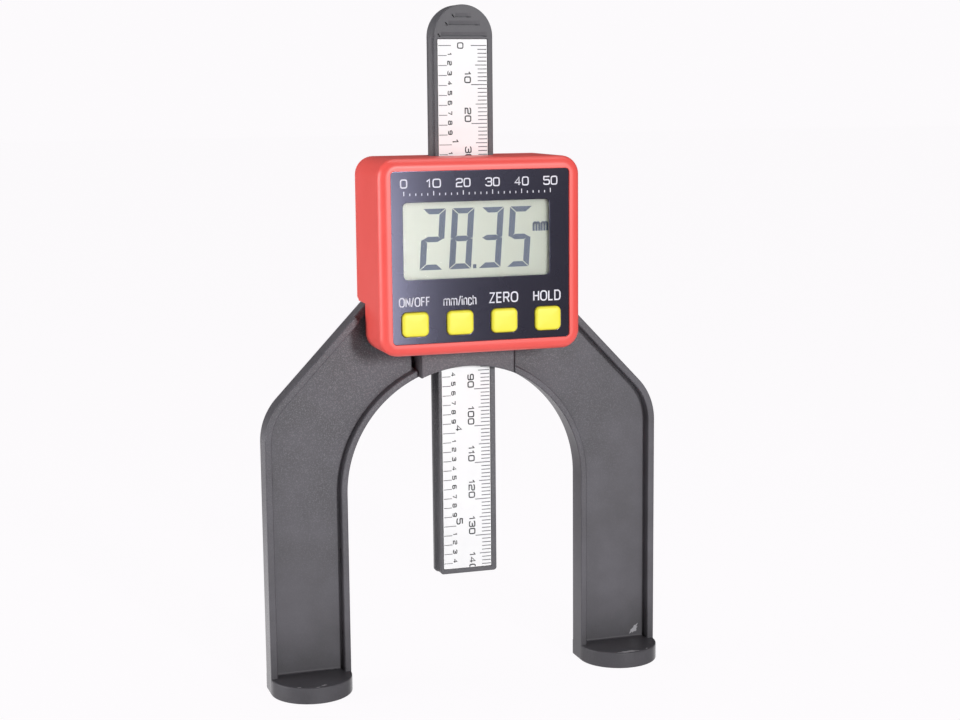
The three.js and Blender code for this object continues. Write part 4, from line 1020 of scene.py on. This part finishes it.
# %% Segments
def segment_loops(width, height, upright, level, gap):
    """Seven mitred bars of a digit standing on (0, 0): a top, b and c right, d foot, e and f left,
    g middle. Each corner is cut at 45 degrees and pulled back by the gap."""
    h, u, v, g = height / 2, upright, level, gap
    top = [[g, height], [width - g, height], [width - u - g, height - v], [u + g, height - v]]
    right = [[width, height - g], [width, h + g], [width - u / 2, h + g / 2 - 0.1],
             [width - u, h + v / 2 + g], [width - u, height - v - g]]
    middle = [[g + 0.4, h], [u + g, h + v / 2], [width - u - g, h + v / 2], [width - g - 0.4, h],
              [width - u - g, h - v / 2], [u + g, h - v / 2]]

    def flip_up(loop):
        """The loop with its top and bottom exchanged."""
        return [[x, height - z] for x, z in loop]

    def flip_over(loop):
        """The loop with its left and right exchanged."""
        return [[width - x, z] for x, z in loop]

    return {"a": top, "b": right, "c": flip_up(right), "d": flip_up(top), "e": flip_over(flip_up(right)),
            "f": flip_over(right), "g": middle}


def digit(lit, left, low, width, height, depth):
    """The lit segments as flat faces, leaning by four degrees."""
    loops = segment_loops(width, height, 1.62, 1.38, 0.14)
    parts = []
    for name in lit:
        loop = np.array(loops[name])
        loop[:, 0] += left + np.tan(np.radians(4.0)) * loop[:, 1]
        loop[:, 1] += low
        parts.append(fill(at(loop, depth)))
    return parts


GLASS = -12.62  # just in front of the cell
DIGIT_LOW, DIGIT_TALL = 111.95, 15.5
DIGITS = (("abged", -16.05, 6.1), ("abcdefg", -8.28, 5.9), ("abgcd", -0.4, 5.95), ("afgcd", 7.2, 6.05))
reading = []
for lit, left, width in DIGITS:
    reading += digit(lit, left, DIGIT_LOW, width, DIGIT_TALL, GLASS)
reading.append(bar(-1.85, -0.95, DIGIT_LOW, 113.0, GLASS))
reading += legend("mm", (14.35, 18.65, 120.7, 124.1), 0.6, GLASS)
piece("display_reading", reading, segment_ink, "bridge_and_housing")


# %% [markdown]
# ## Buttons
# A button cap is a rounded square of silicone with a soft edge and a slightly raised middle, so
# its top is a stack of rings whose depth follows a shallow dome.

# %% Buttons
def cap_parts(x, up):
    """Rings of a rounded square: a flange behind, a straight wall, a soft edge, a low dome."""
    face = rounded(x - 3.55, x + 3.55, up - 3.13, up + 3.13, 1.4, 8)
    flange = rounded(x - 4.2, x + 4.2, up - 3.9, up + 3.9, 1.4, 8)
    top, soft, dome = -15.45, 0.85, 0.1
    rings = [at(flange, -12.0), at(flange, -12.8), at(face, -12.8), at(face, top + soft + dome)]
    for a in np.radians(np.linspace(0, 90, 10)):
        depth = top + dome + soft * (1 - math.sin(a))
        rings.append(at(inset(face, soft * (1 - math.cos(a))), depth))
    middle = np.array([x, up])
    ring = inset(face, soft)
    for share in (0.85, 0.6, 0.3):
        rings.append(at(middle + (ring - middle) * share, top + dome * share ** 2))
    return [skin(rings), fill(rings[0]), fill(rings[-1])]


for name, x in BUTTONS.items():
    piece(f"button_{name}_dressed", cap_parts(x, BUTTON_UP), yellow_silicone, f"button_{name}",
          (f"button_{name}",), 50)

# %% [markdown]
# ## The beam
# The beam is a flat bar with a round top. Its front has a long shallow recess for the scale, and
# three thumb ledges above it: each is a ramp that sinks into the face and ends in a narrow groove,
# with a small three-cornered pit at its left end. The beam's sides carry a groove too, and its
# left side is half a millimetre narrower in front of the groove than behind it. So the rings of
# its wall start narrow, dip inwards where the groove runs, and come out again behind it.

# %% Beam
TIP, TOP = 28.35, 178.85
BEAM_MID, BEAM_HALF, BEAM_BACK = 0.06, 8.14, 5.8
TIP_CORNER = 0.8
GROOVE = (29.3, 170.65)  # heights between which the sides have their groove
DEEP, STEP = 0.65, 0.53  # the groove's depth, and how much narrower the left side is before it
beam_outline = np.vstack([
    arc(BEAM_HALF - TIP_CORNER, TIP + TIP_CORNER, TIP_CORNER, -90, 0, 6),
    [[BEAM_HALF, GROOVE[0] - 0.01], [BEAM_HALF, GROOVE[0] + 0.3], [BEAM_HALF, GROOVE[1] - 0.3]],
    arc(0, TOP - BEAM_HALF, BEAM_HALF, 0, 180, 48),
    [[-BEAM_HALF, GROOVE[1] - 0.3], [-BEAM_HALF, GROOVE[0] + 0.3], [-BEAM_HALF, GROOVE[0] - 0.01]],
    arc(-BEAM_HALF + TIP_CORNER, TIP + TIP_CORNER, TIP_CORNER, 180, 270, 6)]) + [BEAM_MID, 0.0]
in_groove = (beam_outline[:, 1] > GROOVE[0]) & (beam_outline[:, 1] <= GROOVE[1] + 0.01)
step = STEP * np.clip((BEAM_MID - beam_outline[:, 0]) / BEAM_HALF, 0, 1)
narrow = beam_outline + np.column_stack([step, np.zeros(len(step))])
dip = np.where(in_groove, DEEP - step, 0.0)
edge = rounding(0.0, BEAM_BACK, 0.25, 0.6, 6)
wall = [at(inset(narrow, d), y) for d, y in edge[:9]]
dipped = inset(narrow, dip)
wall += [at(narrow, 0.45), at(dipped, 0.55), at(dipped, 3.0), at(beam_outline, 3.9)]
wall += [at(inset(beam_outline, d), y) for d, y in edge[9:]]
RECESS = rounded(-6.8, 6.8, 29.6, 170.1, 0.25, 3)
recess = [at(inset(RECESS, d), y) for d, y in
          ((-0.1 - HOLD, 0.0), (-0.1, 0.0), (-0.03, 0.03), (0.0, 0.1), (0.0, 0.9))]


def ledge(left, right, up):
    """A trough across the face: a shallow ramp downwards, then a narrow groove. It runs out to
    nothing over its last millimetre on the right."""
    profile = np.array([[1.2, 0.0], [0.26, 0.28], [0.24, 0.7], [0.02, 0.7], [0.0, 0.0]])
    ends = [np.column_stack([np.full(5, x), profile[:, 1] * share, up + profile[:, 0]])
            for x, share in ((left, 1.0), (right - 1.0, 1.0), (right, 0.02))]
    rim = at(np.array([[left, up], [right, up], [right, up + 1.2], [left, up + 1.2]]), 0.0)
    return rim, [skin(ends, closed=False), fill(ends[0]), fill(ends[-1])]


def pit(left, right, up, tall):
    """A three-cornered hole with a flat floor."""
    corners = np.array([[left, up], [right, up], [left * 0.7 + right * 0.3, up + tall]])
    rings = [at(corners, 0.0), at(inset(corners, 0.05), 0.6)]
    return rings[0], [skin(rings), fill(rings[1])]


notches = []
for left, right, up in ((-2.98, 2.4, 175.5), (-4.8, 4.8, 173.5), (-6.85, 6.7, 170.65)):
    notches += [ledge(left + 1.1, right, up), pit(left, left + 1.02, up, 1.0)]
body = [skin(wall), skin(recess), fill(recess[-1]), fill(wall[-1])]
body.append(fill(wall[0], recess[0], *[rim for rim, _ in notches]))
for _, parts in notches:
    body += parts
piece("beam_dressed", body, beam_nylon, "beam", ("beam",))

# %% [markdown]
# ## The printed scale
# The label reads downwards from zero near the top: millimetres along its right edge, tenths of an
# inch along its left. Its numbers are turned a quarter turn clockwise and stand just above their
# lines. The last one runs off the end of the label, so only its first half is drawn.

# %% Label
label = plate(rounded(-6.68, 6.68, 29.72, 170.0, 0.2, 3), 0.1, 0.3, 0.02, 0.01, steps=2)
piece("scale_label_dressed", label, label_paper, "beam", ("scale_label",))

# %% Scale marks
ZERO = 168.4
INK = 0.08
INCH = 25.4
lines, figures = [], []


def scale_number(signs, middle, low, height, stroke, gap):
    """A number turned a quarter turn clockwise: it reads down the beam to its lower end."""
    paths, length = lettering(signs, height, gap)
    for path in paths:
        turn = np.column_stack([middle - height / 2 + path[:, 1], low + length - path[:, 0]])
        figures.append(ribbon(turn, stroke, INK))


for mm in range(0, 139):
    length = 4.25 if mm % 10 == 0 else 3.1 if mm % 5 == 0 else 2.45
    z = ZERO - mm
    lines.append(bar(6.55 - length, 6.55, z - 0.11, z + 0.11, INK))
for tenth in range(0, 55):
    length = 3.4 if tenth % 10 == 0 else 2.25
    z = ZERO - tenth * INCH / 10
    if z > 30.2:
        lines.append(bar(-6.5, -6.5 + length, z - 0.09, z + 0.09, INK))
        if tenth % 10:
            scale_number(str(tenth % 10), -3.5, z + 0.15, 0.95, 0.27, 0.0)
        elif tenth:
            scale_number(str(tenth // 10), -2.15, z + 0.55, 1.5, 0.33, 0.0)
scale_number("0", -0.55, ZERO - 0.7, 1.45, 0.28, 0.0)
for tens in range(1, 14):
    scale_number(str(tens * 10), 1.35, ZERO - tens * 10 + 0.55, 1.5, 0.33, 0.55)
scale_number(["1", "4", "half zero"], 1.35, 29.85, 1.5, 0.33, 0.55)
piece("scale_lines", lines, grey_ink, "beam")
piece("scale_figures", figures, black_ink, "beam")

# %% [markdown]
# ## Behind: lock, screws and battery door
# The lock knob is knurled for a thumb and finger: its rim's radius follows a wave of twenty
# ridges. In its middle is a shallow dish.

# %% Lock knob
def knob_parts():
    """Rings whose radius is a circle minus a ridge wave, rounded at both ends, and its shank."""
    a = np.radians(np.arange(240) * 1.5)
    wave = 0.32 * (0.5 + 0.5 * np.cos(a * 20)) ** 0.7
    front, back = 11.0, 15.6
    rings = []
    for y, shrink, ridge in (
            (front, 0.5, 0.0), (front, 0.35, 0.3), (front + 0.3, 0.0, 1.0), (back - 0.5, 0.0, 1.0),
            (back - 0.15, 0.2, 0.6), (back, 0.55, 0.0), (back, 0.7, 0.0)):
        r = 5.25 - shrink - wave * ridge
        rings.append(np.column_stack([r * np.cos(a), np.full(len(a), y), LOCK_UP + r * np.sin(a)]))
    for r, y in ((3.6, back), (3.4, back - 0.25), (0.6, back - 0.35)):
        rings.append(np.column_stack([r * np.cos(a), np.full(len(a), y), LOCK_UP + r * np.sin(a)]))
    return [skin(rings), fill(rings[0]), fill(rings[-1])]


shaft = [(0.9, 6.75), (1.3, 7.1), (1.3, 11.3), (0.5, 11.3)]
knob = knob_parts() + solid_of_turning(shaft, (0, LOCK_UP))
piece("lock_knob", knob, black_moulding, "lock_screw", ("lock_screw",), 40)


# %% [markdown]
# The screws are pan heads on a threaded shank. The top of the head is rounded by a few rings, the
# cross recess is a plus-shaped hole whose walls taper, and the thread is a shank whose radius
# goes up and down.

# %% Screws
HEAD, TALL = 2.1, 1.4  # radius and height of the head
SHANK, CROSS = 1.1, 0.3  # radius of the shank, and half the width of the cross's arms


def screw_parts(x, up, seat, tip):
    """A head on its seat, and a shank that reaches tip forward of the seat."""
    half, arm = CROSS, HEAD * 0.62
    plus = np.array([
        [arm, -half], [arm, half], [half, half], [half, arm], [-half, arm], [-half, half],
        [-arm, half], [-arm, -half], [-half, -half], [-half, -arm], [half, -arm], [half, -half]])
    a = np.radians(np.arange(36) * 10)
    circle = np.column_stack([np.cos(a), np.sin(a)])
    centre = np.array([x, up])
    rings = [at(centre + circle * HEAD * s, seat + TALL * t) for s, t in (
        (0.5, 0.0), (1.0, 0.0), (1.0, 0.45), (0.96, 0.72), (0.86, 0.92), (0.76, 1.0))]
    hole = [at(centre + plus * s, seat + TALL * t) for s, t in ((1.0, 1.0), (0.75, 0.35))]
    parts = [skin(rings), fill(rings[0]), fill(rings[-1], hole[0]), skin(hole), fill(hole[-1])]
    turns = np.linspace(0, 1, 19)
    thread = [(SHANK * (0.93 + 0.07 * (i % 2)), seat - tip * t) for i, t in enumerate(turns)]
    profile = [(SHANK * 0.5, seat), *thread, (SHANK * 0.3, seat - (tip + 0.2))]
    return parts + solid_of_turning(profile, (x, up), 20)


for side, sign in (("left", -1), ("right", 1)):
    piece(f"cover_screw_{side}_dressed", screw_parts(sign * SCREW_OUT, SCREW_UP, 8.65, 7.4),
          zinc_steel, "bridge_and_housing", (f"cover_screw_{side}",))
    piece(f"bridge_screw_{side}_dressed", screw_parts(sign * 22.9, 94.2, 5.1, 10.6),
          zinc_steel, "bridge_and_housing", (f"bridge_screw_{side}",))
print("screws made")

# %% [markdown]
# The battery door fills its bay, and its ribs end in the plane of the cover. The magnets are
# discs with soft edges. They are turned about an axis along Y like everything round here, and
# then laid flat in the soles by exchanging their axes.

# %% Battery door and magnets
door_outline = rounded(12.1, 26.85, 116.85, 131.15, 0.3, 3)
door = plate(door_outline, 9.22, COVER_BACK, 0.05, 0.35)
for x in (21.0, 22.0, 23.0, 24.0, 25.0):
    rib = rounded(x, x + 0.45, 119.5, 128.5, 0.2, 3)
    door += plate(rib, COVER_BACK - 0.3, COVER_BACK, 0.05, 0.05, steps=1)
piece("battery_door_dressed", door, black_moulding, "battery_door", ("battery_door",))

profile = [(3.0, 0.3), (4.75, 0.3), (4.95, 0.4), (5.0, 0.6), (5.0, 3.1), (4.8, 3.3), (3.0, 3.3)]
for side, sign in (("left", -1), ("right", 1)):
    disc = turned(solid_of_turning(profile, (0, 0), 64), (0, 2, 1))
    disc = moved(disc, (sign * FOOT_MIDDLE, -2.5, 0.0))
    piece(f"magnet_{side}_dressed", disc, magnet_plate, "bridge_and_housing",
          (f"foot_magnet_{side}",))

# %% [markdown]
# ## Pieces that keep their solids
# Inside the housing the CAD solids already have the right shape, so they only need a finish.

# %% Finishes for the carried-over nodes
KEPT = {
    board_mask: ["display_board", "sensor_board", "scale_strip"],
    holder_plastic: ["lcd_holder"],
    contact_elastomer: ["zebra_strip_upper", "zebra_strip_lower"],
    chip_resin: ["controller_chip"],
    switch_plastic: ["board_header"] + [f"switch_base_{name}" for name in BUTTONS],
    natural_nylon: ["lock_pad"] + [f"switch_plunger_{name}" for name in BUTTONS],
    turned_brass: ["gib_strip", "lock_insert"],
    spring_steel: ["friction_spring"],
    nickel_plate: ["button_cell", "battery_contact_plus", "battery_contact_minus"],
    zinc_steel: [f"{board}_board_screw_{end}_{side}" for board in ("display", "sensor")
                 for end in ("lower", "upper") for side in ("left", "right")],
}
for material, names in KEPT.items():
    for name in names:
        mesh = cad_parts[name].data
        mesh.materials.clear()
        mesh.materials.append(material)
print("kept", sum(len(names) for names in KEPT.values()), "nodes")

# %% [markdown]
# ## Floor and light
# The photograph is a cut-out on white. The floor is a plain sheet that ends some way in front of
# the gauge. Through Light Path it is nearly white to the camera, and the small rest of its own
# shading keeps the shadow. Mirror rays see it white near the gauge and dimmer further out.

# %% Floor
def share_of_rays(tree, high, low, *kinds):
    """A value that is high for the given kinds of ray and low for all others."""
    path = node(tree, "ShaderNodeLightPath")
    seen = path.outputs[kinds[0]]
    for kind in kinds[1:]:
        either = {0: seen, 1: path.outputs[kind]}
        seen = node(tree, "ShaderNodeMath", either, operation="MAXIMUM").outputs[0]
    return node(tree, "ShaderNodeMapRange", {"Value": seen, "To Min": low, "To Max": high}).outputs[0]


def floor_finish():
    """A matt pale shader mixed with a white glow by the share that each kind of ray sees of it."""
    material = bpy.data.materials.new("pale_floor")
    material.use_nodes = True
    tree = material.node_tree
    shader = tree.nodes["Principled BSDF"]
    shader.inputs["Base Color"].default_value = linear("#e9e7ea")
    shader.inputs["Roughness"].default_value = 0.9
    shader.inputs["Specular IOR Level"].default_value = 0.1
    glow = node(tree, "ShaderNodeEmission", {"Color": linear("#fffdff"), "Strength": 1.0})
    where = node(tree, "ShaderNodeTexCoord").outputs["Object"]
    away = node(tree, "ShaderNodeVectorMath", {0: where}, operation="LENGTH").outputs["Value"]
    pool = node(tree, "ShaderNodeMapRange", {
        "Value": away, "From Min": 0.1, "From Max": 0.24, "To Min": 1.0, "To Max": 0.1}).outputs[0]
    share = node(tree, "ShaderNodeMath", {
        0: share_of_rays(tree, 0.965, 0.0, "Is Camera Ray", "Is Transmission Ray"),
        1: share_of_rays(tree, pool, 0.0, "Is Glossy Ray")}, operation="MAXIMUM")
    mix = node(tree, "ShaderNodeMixShader", {
        0: share.outputs[0], 1: shader.outputs[0], 2: glow.outputs[0]})
    tree.links.new(mix.outputs[0], tree.nodes["Material Output"].inputs["Surface"])
    return material


floor_mesh = bpy.data.meshes.new("floor")
floor_mesh.from_pydata([(-4, -0.3, 0), (4, -0.3, 0), (4, 6, 0), (-4, 6, 0)], [], [(0, 1, 2, 3)])
floor_mesh.materials.append(floor_finish())
floor = bpy.data.objects.new("floor", floor_mesh)
floor.location.z = -0.0001
bpy.context.scene.collection.objects.link(floor)

# %% [markdown]
# The sky is white to the camera too, and dim to everything else. The main lamp is a tall narrow
# softbox in front on the right, so walls that face left inside the bridge stay dark. A low card
# under it lights the left half of the faceplate by its reflection. A broad soft lamp on the left
# lights the outer walls there, and a weak one over the gauge lights the top of the housing.

# %% Light
world = bpy.data.worlds.new("studio")
bpy.context.scene.world = world
world.use_nodes = True
sky = world.node_tree
background = sky.nodes["Background"]
background.inputs["Color"].default_value = linear("#fffdff")
sky.links.new(share_of_rays(sky, 0.975, 0.1, "Is Camera Ray", "Is Transmission Ray"),
              background.inputs["Strength"])


def lamp(name, place, target, width, height, power):
    """A softbox of that width and height at place that faces target, all in metres."""
    light = bpy.data.lights.new(name, "AREA")
    light.shape = "RECTANGLE"
    light.size = width
    light.size_y = height
    light.energy = power
    thing = bpy.data.objects.new(name, light)
    thing.location = place
    thing.rotation_euler = (Vector(target) - Vector(place)).to_track_quat("-Z", "Y").to_euler()
    bpy.context.scene.collection.objects.link(thing)


lamp("front", (0.19, -1.0, 0.29), (0, 0, 0.12), 0.08, 0.2, 7.3)
lamp("card", (0.15, -1.0, 0.0), (0, 0, 0.08), 0.17, 0.2, 1.35)
lamp("left", (-0.95, 0.1, 0.25), (0, 0, 0.1), 0.5, 0.5, 7.1)
lamp("above", (0.05, 0.05, 0.5), (0, 0, 0.12), 0.35, 0.2, 0.62)
bpy.context.scene.view_settings.view_transform = "Standard"
